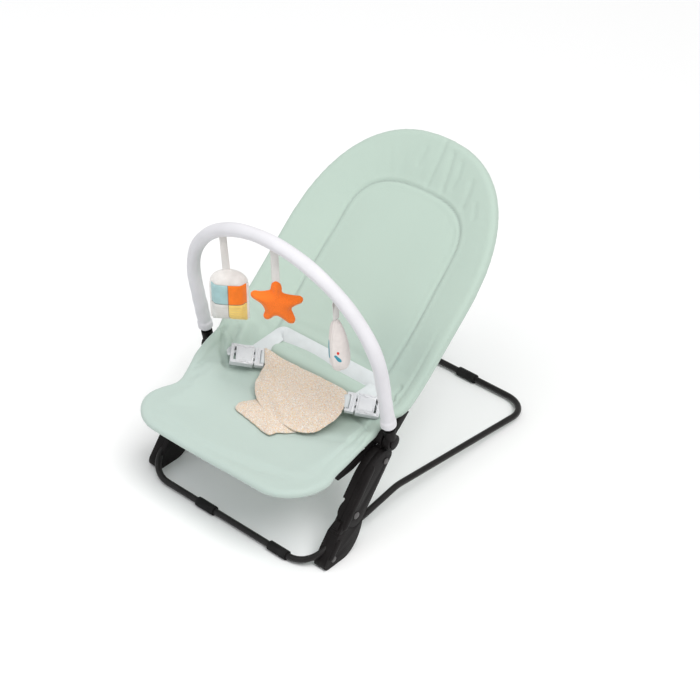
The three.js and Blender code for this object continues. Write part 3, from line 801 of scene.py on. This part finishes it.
def shape_cover(obj, x_s, off, d):
    """Thins the middle of the cover, lets it sag between its tubes, and carries it to its place."""
    s = x_s[:, 1]
    side = np.clip(off / ROLL_R, -1, 1)
    soft_half = np.where(s < 0, 7.5, 5.5)
    off = off * (1 + (soft_half / ROLL_R - 1) * step(d, ROLL_R, 30))
    off = off + cover_lift(x_s[:, 0], s, d) - cover_sag(s, d)
    off = off + 5 * bell(s, seat_s(-236), 55) * step(x_s[:, 0], -40, 120)
    store(obj, flat_x=x_s[:, 0], flat_s=s, flat_side=side, inset=d)
    set_coordinates(obj, sling(x_s[:, 0], s, off) * MM)


def puff_cover(obj):
    """The wadding swells between the edge roll and the stitched line, which are held."""
    x, s, d = stored(obj, "flat_x", "flat_s", "inset")
    seam = nearest_on(panel_line(), np.stack([x, s], axis=1))[0]
    pinned = np.maximum(1 - step(d, 12, 24), 0.9 * (1 - step(seam, 3, 9)))
    inflate(obj, 2.2, 5.0, pinned)


def cover_relief(obj):
    """Sewn and creased detail, as heights over the smooth cloth."""
    x, s, side, d = stored(obj, "flat_x", "flat_s", "flat_side", "inset")
    front, behind = step(side, -0.2, 0.6), 1 - step(side, -0.6, 0.2)
    at = np.stack([x, s], axis=1)
    seam = nearest_on(panel_line(), at)[0]
    creases = folds(at)
    channel = bell(d, 25, 4) * step(s, -200, -70) * (1 - step(s, back_s(100), back_s(240)))
    height = -2.2 * bell(seam, 0, 2.8) + 0.9 * bell(seam, 7, 5)
    height -= 2.8 * channel * np.where(x > 0, 1.0, 0.35)
    height -= 6.0 * bell(x, 166, 30) * bell(s, back_s(125), 62)
    height -= 3.0 * bell(np.abs(x), 60, 40) * bell(s, back_s(150), 60)
    height -= creases
    height += 8.0 * bell(s, back_s(43), 13) * step(x, -112, -88) * (1 - step(x, 118, 142))
    height = height * front + behind * rear_pocket(x, s, d)
    # Dark stitch lines along the panel seam and the pocket hem, plus a little painted shade in the creases.
    lines = front * (bell(seam, 0, 1.5) + 0.05 * creases) + behind * bell(d, 58, 1.6) * (s > 30)
    # Painted shade: a soft darkening over the lower back, towards the right side.
    low = bell(x, 130, 110) * bell(s, back_s(130), 75) * step(s, back_s(40), back_s(90))
    # The first mask stored here marks the back and hips, which the cloth's colour tints warmer as painted
    # light.
    store(obj, upright=step(s + 0.25 * np.abs(x), -60, 30), shaded=front * low, seam=np.clip(lines, 0, 1))
    press(obj, height)


FOLDS = (                             # lines on the flat cover, how wide and how deep
    (((-172, 38), (-161, 4), (-153, -26), (-136, -40)), 6.0, 8.0),
    (((-190, 26), (-176, -18), (-160, -44), (-140, -56)), 5.0, 7.0),
    (((-154, 52), (-142, 26)), 7.5, 5.0),
    (((-136, -48), (-156, -64), (-168, -74), (-178, -100)), 5.0, 3.2),
    (((-120, -72), (-70, -60)), 14.0, 1.5),
    (((112, -8), (146, -12), (188, -34)), 4.0, 3.4),
    (((68, -118), (116, -90), (192, -66)), 9.0, 1.8),
    (((176, 80), (173, 66), (181, 52)), 3.2, 5.0),
    (((188, -48), (196, -72), (194, -98)), 4.0, 2.4),
    (((8, 515), (11, 480), (11, 428)), 5.0, 2.2),
    (((36, 496), (39, 468), (46, 428)), 5.5, 2.4),
    (((60, 488), (64, 462), (64, 440)), 5.0, 1.8),
    (((96, 462), (102, 444), (101, 416)), 6.0, 1.8),
    (((-22, 486), (-25, 456)), 6.0, 1.2),
    (((128, 430), (136, 404)), 5.0, 1.2),
)


def folds(at):
    """How deep the creases are at points of the flat cover; each one fades out at its ends."""
    depth = np.zeros(len(at))
    for line, width, deep in FOLDS:
        line = [(x + 1.5 * math.sin(s / 9), s) for x, s in line]
        depth += deep * bell(nearest_on(line, at)[0], 0, width)
    return depth


def rear_pocket(x, s, d):
    """Behind the backrest the pocket's hem lies round the edge, pulled into small gathers by its elastic."""
    on_back = step(s, 20, 50)
    hem = 1.6 * (1 - step(d, 56, 60)) * on_back
    ripple = np.sin((x + 0.7 * s) / 3.1) + 0.5 * np.sin((x - 0.8 * s) / 4.3)
    return hem + 0.5 * ripple * bell(d, 54, 9) * on_back


def sling_cover():
    outline = closed_outline(half_outline())
    cover, places, off, inset = slab("mint_cover", outline, ROLL_R, 5.0, MINT_JERSEY)
    shape_cover(cover, places, off, inset)
    smooth(cover, 3)
    puff_cover(cover)
    subdivide(cover)
    cover_relief(cover)
    smooth(cover, 1, 0.3)
    return cover


def hang_cover(cover):
    """Called last, when what lies on the cover has been fitted to it."""
    start = sling(0, seat_s(-26), 0) * MM
    end = sling(0, back_s(46), 0) * MM
    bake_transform(cover)
    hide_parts("seat_cover", "back_cover")


# ---------------------------------------------------------------- toy bar

ARCH_HALF, ARCH_STRAIGHT, ARCH_RISE = 222.0, 150.0, 201.0
SLEEVE_START, PAD_R = 38.0, 13.0
SLEEVE_STEP, SLEEVE_SIDES = 3.0, 36
HEM, HEM_STITCHES = 15.5, 26


def arch_path():
    """The bar's middle line: two straight legs under a half ellipse."""
    turns = np.linspace(0, math.pi, 90)
    x = np.concatenate([[ARCH_HALF], ARCH_HALF * np.cos(turns), [-ARCH_HALF]])
    along = np.concatenate([[SLEEVE_START], ARCH_STRAIGHT + ARCH_RISE * np.sin(turns), [SLEEVE_START]])
    return resampled(on_hub(x, along, 0, BAR_ANGLE), SLEEVE_STEP)


def bar_sleeve(cloth):
    """The padded sleeve: a hem at each end, soft creases round the bends, and a seam along its inner side."""
    path = arch_path()
    angles = np.arange(SLEEVE_SIDES) * 2 * math.pi / SLEEVE_SIDES
    length = np.arange(len(path)) * SLEEVE_STEP
    t, a = np.meshgrid(length, angles, indexing="ij")
    from_end = np.minimum(t, length[-1] - t)
    from_seam = np.abs(np.angle(np.exp(1j * (a - math.pi / 2))))
    radius = PAD_R - 0.5 + 0.45 * np.sin(t / 19 + 2 * np.sin(a)) * np.sin(t / 47 + a)
    radius += 0.35 * np.sin(t / 5.3 + 3 * np.cos(a)) * bell(from_end, 60, 40)
    radius -= 1.1 * bell(from_end, 19, 1.6)
    radius += 1.5 * (1 - step(from_end, 15, 19)) - 2.5 * (1 - step(from_end, -1, 3))
    radius -= 0.5 * bell(from_seam, 0, 0.09)
    section = np.stack([radius * np.cos(a), radius * np.sin(a)], axis=-1)
    sleeve = sweep("bar_sleeve", path, section, cloth, up=(0, *above(BAR_ANGLE)))
    subdivide(sleeve)
    placed(sleeve, "toy_bar", "bar_fabric", "toy_bar_sleeve")
    for side, sign in SIDES:
        stitches = []
        for k in range(HEM_STITCHES):
            for lean in (-0.075, 0.075):
                turn = 2 * math.pi * k / HEM_STITCHES + lean
                x, off = (PAD_R + 0.42) * math.cos(turn), (PAD_R + 0.42) * math.sin(turn)
                stitches.append(on_hub(sign * ARCH_HALF + x, SLEEVE_START + HEM, off, BAR_ANGLE))
        dashes(stitches, f"sleeve_stitches_{side}", cloth)


def dashes(ends, name, material):
    """Short thread stitches, each between two points, joined into one piece."""
    radius, sides = 0.35, 6
    points, faces = [], []
    for a, b in zip(ends[0::2], ends[1::2]):
        way = (b - a) / np.linalg.norm(b - a)
        across = np.cross(way, (0.3, 0.5, 0.81))
        across /= np.linalg.norm(across)
        over = np.cross(way, across)
        first = len(points)
        for station, size in ((-0.10, 0.35), (0.12, 1.0), (0.88, 1.0), (1.10, 0.35)):
            for x, y in ring(size * radius, sides):
                points.append(a + (b - a) * station + across * x + over * y)
        faces += ring_faces(first, 4, sides)
        faces.append(tuple(reversed(range(first, first + sides))))
        faces.append(tuple(range(first + 3 * sides, first + 4 * sides)))
    placed(new_mesh(name, points, faces, material), "toy_bar", "bar_fabric")


# ---------------------------------------------------------------- toys

TOYS = {
    "house": {"x": -119.0, "top": 433.0, "turn": 36.0, "lean": 4.0, "tip": 0.0},
    "star": {"x": 13.0, "top": 464.0, "turn": 42.0, "lean": 1.5, "tip": 0.0},
    "fish": {"x": 151.0, "top": 447.0, "turn": 92.0, "lean": 0.0, "tip": 4.0},
}
STRAP_HALF, STRAP_STEP = 6.5, 2.0


def hook_above(toy):
    """Where a toy hangs: the lowest point of the sleeve over it."""
    x = toy["x"]
    reach = math.sqrt(1 - (x / ARCH_HALF) ** 2)
    height = ARCH_STRAIGHT + ARCH_RISE * reach
    slope = -(ARCH_RISE / ARCH_HALF) * (x / ARCH_HALF) / reach
    centre = on_hub(x, height, 0, BAR_ANGLE)
    along = on_hub(x + 1, height + slope, 0, BAR_ANGLE) - centre
    along /= np.linalg.norm(along)
    down = np.array([0, 0, -1.0])
    down -= along * down.dot(along)
    return centre + down / np.linalg.norm(down) * PAD_R


def toy_strap(name, cloth):
    """A folded band stitched under the sleeve; its two plies part a little near the top."""
    toy = TOYS[name]
    hook = hook_above(toy)
    turn = math.radians(toy["turn"])
    across = np.array([math.cos(turn), math.sin(turn), 0.0])
    out = np.array([math.sin(turn), -math.cos(turn), 0.0])
    foot = np.array([hook[0], hook[1], toy["top"] - 9]) + across * 0.4 * toy["lean"]
    head = hook + np.array([0, 0, 5.0]) - across * 0.6 * toy["lean"]
    plies = ((0.0, 0.75), (0.12, 0.75), (0.35, 0.8), (0.6, 1.5), (0.78, 2.6), (0.9, 1.6), (1.0, 0.8))
    path = [foot + (head - foot) * level - out * gap for level, gap in plies]
    path += [head + np.array([0, 0, 0.8])]
    path += [foot + (head - foot) * level + out * gap * 0.8 + across * 0.8 for level, gap in plies[::-1]]
    path = resampled(path, STRAP_STEP)
    strap = sweep(f"{name}_webbing", path, rounded_bar(0.5, STRAP_HALF, 0.45, 2), cloth, up=across)
    placed(strap, name, "webbing", f"{name}_strap")


def stuffed(name, outline, roll, half, depth, material):
    """A stuffed toy's skin from its flat outline: (x, height) below the strap, domed to both sides."""
    obj, places, off, inset = slab(f"{name}_skin", outline, roll, 2.0, material)
    t = np.clip((inset - roll) / (depth - roll), 0, 1)
    off = off * (1 + (half / roll - 1) * np.sqrt(1 - (1 - t) ** 2))
    store(obj, toy_x=places[:, 0], toy_v=places[:, 1], toy_off=off)
    set_coordinates(obj, np.stack([places[:, 0], -off, places[:, 1]], axis=1) * MM)
    smooth(obj, 4)
    inflate(obj, 3.0, 2.5, 1 - step(inset, 0.8 * roll, 2 * roll))
    subdivide(obj)
    return obj


def closed_spline(points, per_span=6):
    """A smooth closed curve through points (Catmull-Rom)."""
    points = [np.array(p, float) for p in points]
    count = len(points)
    result = []
    for i in range(count):
        p0, p1, p2, p3 = (points[(i + k - 1) % count] for k in range(4))
        for k in range(per_span):
            t = k / per_span
            result.append(tuple(0.5 * (
                2 * p1 + (p2 - p0) * t + (2 * p0 - 5 * p1 + 4 * p2 - p3) * t ** 2
                + (3 * p1 - p0 - 3 * p2 + p3) * t ** 3)))
    return result


def anticlockwise(outline):
    area = sum(a[0] * b[1] - b[0] * a[1] for a, b in zip(outline, outline[1:] + outline[:1]))
    return outline if area > 0 else outline[::-1]


HOUSE_MIDDLE_X, HOUSE_HALF = 5.5, 35.0
HOUSE_TOP, HOUSE_MIDDLE, HOUSE_BOTTOM = -31.0, -71.0, -110.0


def house_toy():
    half, middle, low = HOUSE_HALF, HOUSE_MIDDLE_X, HOUSE_BOTTOM
    outline = [(half - 4, low), (half, low + 4), (half, -36)]
    outline += bezier([(half, -36), (half, -18), (20, -7), (0, -6)], 12)
    outline += bezier([(0, -6), (-20, -7), (-half, -18), (-half, -36)], 12)
    outline += [(-half, low + 4), (4 - half, low)]
    outline = anticlockwise([(x + middle, v) for x, v in outline])
    skin = stuffed("house", outline, 6.0, 16.0, 18.0, house_cloth())
    x, v = stored(skin, "toy_x", "toy_v")
    x = x - middle
    below = 1 - step(v, HOUSE_TOP, HOUSE_TOP + 3)
    valley = bell(x, 0, 1.6) * below + bell(v, HOUSE_MIDDLE, 1.6) + bell(v, HOUSE_TOP, 1.6)
    valley += bell(np.abs(x), half - 3, 1.4) * below
    rows = 0.5 * np.cos((v - HOUSE_MIDDLE) * 2 * math.pi / 5.2) * step(x, 1, 4) * (v < HOUSE_MIDDLE - 2)
    press(skin, -1.3 * np.minimum(valley, 1) + 0.5 * rows)
    finish_toy(skin, "house", "toy_fabric")


def finish_toy(skin, name, slot):
    """Hangs a toy under its strap; it is made below the origin, facing -y."""
    toy = TOYS[name]
    hook = hook_above(toy)
    place = Matrix.Translation(Vector((hook[0], hook[1], toy["top"])) * MM)
    place @= Matrix.Rotation(math.radians(toy["tip"]), 4, Vector((0.67, -0.74, 0)))
    skin.data.transform(place @ Matrix.Rotation(math.radians(toy["turn"]), 4, "Z"))
    placed(skin, name, slot, f"{name}_toy")


def toy_jersey(name, colour):
    look = Look(name, colour, 0.88, Sheen_Weight=0.25, Sheen_Roughness=0.5)
    look.bump(look.noise(1500, 2), 0.00015, 0.8)
    return look


def house_cloth():
    """Four coloured patches with dark stitching between them, and sewn rows across the lower two."""
    cream, blue, orange = (0.80, 0.77, 0.745), (0.37, 0.57, 0.585), (0.96, 0.20, 0.001)
    grey, yellow, thread = (0.68, 0.675, 0.65), (0.90, 0.64, 0.18), (0.13, 0.12, 0.12)
    look = toy_jersey("house_cloth", cream)
    x = look.math("SUBTRACT", look.attribute("toy_x"), HOUSE_MIDDLE_X)
    v = look.attribute("toy_v")
    right = look.above(x, -0.2, 0.4)
    upper, lower = look.mix(right, blue, orange), look.mix(right, grey, yellow)
    patches = look.mix(look.above(v, HOUSE_MIDDLE - 0.2, 0.4), lower, upper)
    inside = look.times(
        look.below(v, HOUSE_TOP, 0.4), look.below(look.size(x), HOUSE_HALF - 3.2, 0.4),
        look.above(v, HOUSE_BOTTOM + 1, 0.5))
    tone = look.mix(inside, cream, patches)
    for gap in (look.size(x), look.size(look.math("SUBTRACT", v, HOUSE_MIDDLE))):
        tone = look.mix(look.times(look.ramp(gap, 0.35, 0.7, 0.85, 0.0), inside), tone, thread)
    # a sewn row every 5.2 mm, which is half a turn of the sine
    rows = look.ramp(look.size(look.math("SINE", look.times(v, 0.604))), 0.0, 0.16, 0.45, 0.0)
    lower_part = look.times(inside, look.below(v, HOUSE_MIDDLE - 3, 0.4))
    tone = look.mix(look.times(rows, lower_part), tone, shade(grey, 0.62))
    soil = look.ramp(look.noise(80, 4), 0.3, 0.7, 0.0, 0.35)
    look.paint(look.mix(soil, tone, shade(cream, 0.8), "MULTIPLY"))
    return look.material


STAR_TIPS = ((0.5, -4), (46.7, -41), (29.6, -90), (-18.7, -81), (-42, -28))
STAR_NOTCHES = ((12.6, -28.6), (26.8, -60.2), (4.1, -76), (-24.4, -51), (-9.5, -22.6))


def star_toy():
    middle = np.array([3.0, -49.0])
    points = []
    for tip, notch in zip(STAR_TIPS, STAR_NOTCHES):
        way = np.array(tip) - middle
        way /= np.linalg.norm(way)
        side = np.array([way[1], -way[0]])
        for out, wide in ((-14.0, -10.0), (-4.0, -7.0), (0.5, 0.0), (-4.0, 7.0), (-14.0, 10.0)):
            points.append(np.array(tip) + way * out + side * wide)
        points.append(np.array(notch))
    skin = stuffed("star", anticlockwise(closed_spline(points, 4)), 4.0, 13.0, 17.0,
                   plush("orange_plush", (0.93, 0.185, 0.016)))
    finish_toy(skin, "star", "orange_plush")


def fish_toy():
    outline = bezier([(0, -8), (10, -8), (24, -62), (20.5, -92)], 14)
    outline += bezier([(20.5, -92), (16, -121), (-16, -121), (-20.5, -92)], 16)
    outline += bezier([(-20.5, -92), (-24, -62), (-10, -8), (0, -8)], 14)
    skin = stuffed("fish", anticlockwise(outline), 4.0, 17.0, 18.0, fish_cloth())
    press(skin, -1.0 * bell(stored(skin, "toy_off")[0], 0, 1.2))
    finish_toy(skin, "fish", "toy_fabric")


def fish_cloth():
    """Cream jersey with a teal band along one side seam, a teal patch and a red spot."""
    cream, teal, red = (0.70, 0.645, 0.62), (0.03, 0.27, 0.36), (0.62, 0.035, 0.02)
    look = toy_jersey("fish_cloth", cream)
    tone = look.mix(look.ramp(look.noise(80, 4), 0.3, 0.7), shade(cream, 0.94), shade(cream, 1.04))
    x, v, off = look.attribute("toy_x"), look.attribute("toy_v"), look.attribute("toy_off")
    across = look.math("ADD", look.times(x, 0.64), look.times(off, 0.77))
    front = look.above(look.math("SUBTRACT", look.times(off, 0.64), look.times(x, 0.77)), 0.0, 1.0)

    def spot(centre, height, wide, tall, slope):
        level = look.math("ADD", look.math("SUBTRACT", v, height), look.times(across, slope))
        u = look.math("DIVIDE", look.math("SUBTRACT", across, centre), wide)
        w = look.math("DIVIDE", level, tall)
        return look.times(look.below(look.math("ADD", look.times(u, u), look.times(w, w)), 0.85, 0.25), front)

    tone = look.mix(spot(-2.5, -80.0, 6.5, 5.0, 0.75), tone, teal)
    tone = look.mix(spot(-1.0, -67.0, 2.4, 2.9, 0.0), tone, red)
    band = look.times(look.below(across, -15.5, 0.5), look.above(v, -84.0, 1.0), look.below(v, -50.0, 1.0))
    look.paint(look.mix(band, tone, teal))
    return look.material


# ---------------------------------------------------------------- harness

BELT_MIDDLE, BELT_HALF, BELT_STEP = 78.5, 14.5, 3.0
BELT_LEFT, BELT_RIGHT = -102.0, 134.0
BUCKLES = {
    "left": {"at": (-101.9, -107.0, 216.1), "sign": -1, "turn": 42.0, "roll": 11.0, "tilt": 21.0},
    "right": {"at": (137.7, -95.5, 224.8), "sign": 1, "turn": 32.0, "roll": 6.0, "tilt": 24.0},
}


class Surface:
    """Finds the cover's surface under a point, so that what lies on it rests on it."""

    def __init__(self, obj):
        mesh = obj.data
        self.tree = BVHTree.FromPolygons(
            [v.co.copy() for v in mesh.vertices], [tuple(p.vertices) for p in mesh.polygons])

    def below(self, point, direction, gap):
        """The surface point reached from here along direction, gap millimetres short of it."""
        way = Vector(direction).normalized()
        hit = self.tree.ray_cast(Vector(point) * MM, way)[0]
        return point if hit is None else np.array(hit / MM - way * gap)


def buckle_axes(name):
    """A buckle's own directions: outwards, towards the knees, and off its face."""
    b = BUCKLES[name]
    turned = Matrix.Identity(3)
    for key, axis in (("turn", "Z"), ("roll", "Y"), ("tilt", "X")):
        turned @= Matrix.Rotation(math.radians(b[key]), 3, axis)
    turned = np.array(turned)
    return b["sign"] * turned[:, 0], -turned[:, 1], turned[:, 2]


def from_buckle(name, out, forward, up):
    """A point in a buckle's own frame, from the mouth of its socket."""
    outward, knees, face = buckle_axes(name)
    return np.array(BUCKLES[name]["at"]) + outward * out + knees * forward + face * up


def buckle_route(name, points):
    return [from_buckle(name, *point) for point in points]


def belt(surface, webbing):
    """The waist belt lies on the back and runs down behind each buckle to its outer slot."""
    off_back = np.array([0, *above(BACK_ANGLE)])
    across = np.linspace(BELT_LEFT, BELT_RIGHT, 50)
    middle = [surface.below(on_hub(x, BELT_MIDDLE, 40, BACK_ANGLE), -off_back, 1.6) for x in across]
    left = buckle_route("left", (
        (34, -4, 2), (37, -6, -4), (31, -10, -8.5), (14, -15, -9.5), (-4, -17, -9.0)))
    right = buckle_route("right", (
        (-2, -9, -8.0), (12, -8, -9.5), (30, -5, -8.5), (37, -4, -4), (34, -3, 2)))
    faces = [buckle_axes(side)[2] for side, _ in SIDES]
    ups = [faces[0]] * len(left) + [off_back] * len(middle) + [faces[1]] * len(right)
    # the directions go along with the path, made small so that they add next to nothing to its length
    both = resampled(np.hstack([left + middle + right, np.array(ups) * 0.001]), BELT_STEP)
    both[:, 3:] *= 1000
    for _ in range(4):
        both[1:-1] = both[1:-1] * 0.5 + (both[:-2] + both[2:]) * 0.25
    strap = sweep("waist_webbing", both[:, :3], rounded_bar(BELT_HALF, 0.75, 0.7, 2), webbing, up=both[:, 3:])
    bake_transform(strap)
    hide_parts("waist_belt")


def buckle_details(name, moulding, webbing):
    """The raised panel and rims of the socket, and the webbing loop on the insert."""
    _, knees, face = buckle_axes(name)
    insert = f"buckle_insert_{name}"
    rim = rounded_bar(1.5, 1.0, 0.8, 3)

    def bar(part, points, section, body="seat"):
        path = resampled(buckle_route(name, points), 2.0)
        placed(sweep(f"buckle_{part}_{name}", path, section, moulding, up=face), body, "buckle_plastic")

    for row, forward in (("front", 17.5), ("rear", -17.5)):
        for start, end, part in ((1.2, 9.0, "inner"), (20.5, 31.0, "outer")):
            bar(f"rim_{row}_{part}", [(start, forward, 5.7), (end, forward, 5.7)], rim)
        bar(f"release_{row}", [
            (9.0 + 11.5 * t, forward * (1 - 0.16 * math.sin(math.pi * t)), 5.9)
            for t in np.linspace(0, 1, 9)], rim)
    bar("panel", [(out, 0, 5.1) for out in (3, 12, 22, 30)], rounded_bar(13.0, 0.9, 0.8, 3))
    bar("end_bar", [(39.5, f, 5.2) for f in (-18, 0, 18)], rounded_bar(1.6, 1.2, 0.9, 3))
    bar("ladder", [(-8.0, f, 4.3) for f in (-17.5, 0, 17.5)], rounded_bar(1.3, 1.1, 0.8, 3), insert)
    loop = buckle_route(name, [(out, 0, up) for out, up in (
        (-31, -2.6), (-26, -1.4), (-21.5, 3.6), (-19, 5.3), (-16, 5.3), (-13.8, 3.6), (-13.2, 0),
        (-14.2, -4.6), (-19, -5.4), (-26, -4.2), (-31, -4.0))])
    flat = rounded_bar(0.6, 13.0, 0.55, 2)
    band = sweep(f"insert_webbing_{name}", resampled(loop, 1.5), flat, webbing, up=knees)
    placed(band, insert, "webbing")
    for node, bevel in ((f"buckle_socket_{name}", 1.6), (insert, 1.2)):
        refined(node, moulding, "buckle_plastic", bevel)


SHIELD_ROLL, TAIL_ROLL = 2.2, 2.6
SHIELD_GAP = 8.5                      # how far the shield's middle stays over the seat
# The shield's height at each side against y: it climbs to its buckle, higher on the right.
LEFT_CLIMB = (
    (-232, 189), (-205, 192), (-185, 198), (-160, 206), (-130, 212), (-108, 210), (-80, 220), (-70, 222))
RIGHT_CLIMB = ((-232, 189), (-205, 192), (-185, 199), (-160, 212), (-130, 222), (-110, 229), (-90, 233))


def shield_shape(x, y, ground, inset):
    """The shield's height and swell; its front edge comes down to the seat."""
    left, right = (np.interp(y, *zip(*climb)) for climb in (LEFT_CLIMB, RIGHT_CLIMB))
    share = step(x, -85, 105)
    height = np.maximum(left * (1 - share) + right * share, ground + SHIELD_GAP)
    height = height + 5.0 * bell(x, -88, 26) * bell(y, -88, 20)
    spare = np.clip(height - ground - SHIELD_GAP, 0, 30)
    height = height - (1 - step(inset, 0, 26)) * step(-y, 150, 190) * spare * 0.8
    crease = (x + 5) * 0.5 + (y + 168) * 0.87
    height = height - 2.0 * bell(crease, 0, 4) + 1.0 * bell(crease, 9, 6)
    return height, 1 + 1.3 * step(inset, SHIELD_ROLL, 18)


def tail_shape(x, y, ground, inset):
    """The tail lies on the seat, with a low hump near its front."""
    height = ground + 3.4 + 2.0 * bell(x + 0.5 * y, -60, 22) * step(-y, 190, 225)
    return height, 1 + 0.9 * step(inset, TAIL_ROLL, 14)


def padded_flap(name, outline, roll, shape, surface, cloth):
    obj, places, off, inset = slab(name, anticlockwise(outline), roll, 3.0, cloth)
    x, y = places[:, 0], places[:, 1]
    ground = np.array([surface.below((a, b, 400.0), (0, 0, -1), 0)[2] for a, b in zip(x, y)])
    height, swell = shape(x, y, ground, inset)
    binding = 1 - 0.5 * bell(inset, 6.0, 1.2)
    set_coordinates(obj, np.stack([x, y, height + off * swell * binding], axis=1) * MM)
    smooth(obj, 2)
    inflate(obj, 2.0, 2.0, 1 - step(inset, roll, 2.5 * roll))
    subdivide(obj)
    return obj


def crotch_piece(surface, cloth):
    """The padded shield with an ear at each buckle, and its stem folded under it on the seat."""
    shield_outline = closed_spline([
        (-98, -79), (-60, -80), (-10, -81), (50, -84), (104, -87), (112, -90), (121, -104), (130, -121),
        (134, -140), (128, -160), (110, -181), (86, -194), (62, -197), (36, -196), (6, -190), (-22, -180),
        (-43, -166), (-56, -150), (-63, -132), (-70, -116), (-76, -106), (-89, -92)], 5)
    tail_outline = closed_spline([
        (-20, -158), (-40, -180), (-51, -198), (-45, -214), (-20, -219), (12, -224), (40, -230), (54, -229),
        (60, -214), (74, -200), (84, -184), (70, -160), (26, -150)], 4)
    shield = padded_flap("crotch_shield", shield_outline, SHIELD_ROLL, shield_shape, surface, cloth)
    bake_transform(shield)
    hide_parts("crotch_pad")
    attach(padded_flap("crotch_tail", tail_outline, TAIL_ROLL, tail_shape, surface, cloth), "seat")


# ---------------------------------------------------------------- casing details

PIVOT_Y, PIVOT_Z = -190.0, 78.0
CASING_OUT = 220.5
LEG_HALF_WIDTH, HEEL = 24.0, -42.0


def on_leg(along, forward):
    length = math.hypot(HUB_Y - PIVOT_Y, HUB_Z - PIVOT_Z)
    up = ((HUB_Y - PIVOT_Y) / length, (HUB_Z - PIVOT_Z) / length)
    return PIVOT_Y + along * up[0] - forward * up[1], PIVOT_Z + along * up[1] + forward * up[0]


def ridges(plastic):
    """A half-round rib stiffens the front edge of each leg and goes on down the foot."""
    rib = [(6.5 * math.cos(a), 4.2 * math.sin(a) - 0.6) for a in np.linspace(0, math.pi, 13)]
    ends = (0.25, 0.7, 0.93, 1.0)
    for side, sign in SIDES:
        runs = {
            "leg": (on_leg(HEEL + 10, LEG_HALF_WIDTH - 8.5), on_leg(92, LEG_HALF_WIDTH - 8.5)),
            "foot": (on_leg(HEEL - 7, LEG_HALF_WIDTH - 9), (-258.0, 17.0)),
        }
        for name, (start, end) in runs.items():
            path = resampled([(sign * CASING_OUT, *start), (sign * CASING_OUT, *end)], 2.0)
            scale = np.ones(len(path))
            scale[:4] = ends
            scale[-4:] = ends[::-1]
            rail = sweep(f"{name}_rib_{side}", path, rib, plastic, up=(sign, 0, 0), scale=scale)
            placed(rail, "legs" if name == "leg" else "base", "black_plastic")


def fairings(plastic):
    """Closes the back bracket's step between its socket and the hub."""
    for side, sign in SIDES:
        path = on_hub(sign * 205.9, np.linspace(17, 31, 5), BACK_LEVEL, BACK_ANGLE)
        block = sweep(f"bracket_fairing_{side}", path, rounded_bar(7.3, 4.5, 1.5), plastic, up=(1, 0, 0))
        placed(block, "back", "black_plastic")


# ---------------------------------------------------------------- the start

add_camera()
add_studio()
STEEL = painted_steel()
RUBBER = black_rubber()
PLASTIC = black_moulding()
RIVET = dark_rivet()
MINT_JERSEY = mint_jersey()
base_tubes(STEEL, RUBBER)
hard_parts(PLASTIC, RIVET)
ridges(PLASTIC)
fairings(PLASTIC)
BELT_WEBBING = white_webbing("belt_webbing", (0.64, 0.675, 0.685))
STRAP_WEBBING = white_webbing("strap_webbing", (0.72, 0.70, 0.675))
WHITE_PLASTIC = white_moulding()
BAR_CLOTH = bar_cloth()
bar_sleeve(BAR_CLOTH)
for toy_name in TOYS:
    toy_strap(toy_name, STRAP_WEBBING)
house_toy()
star_toy()
fish_toy()
COVER = sling_cover()
COVER_SURFACE = Surface(COVER)
belt(COVER_SURFACE, BELT_WEBBING)
for buckle_name in BUCKLES:
    buckle_details(buckle_name, WHITE_PLASTIC, BELT_WEBBING)
crotch_piece(COVER_SURFACE, speckled_cotton())
hang_cover(COVER)
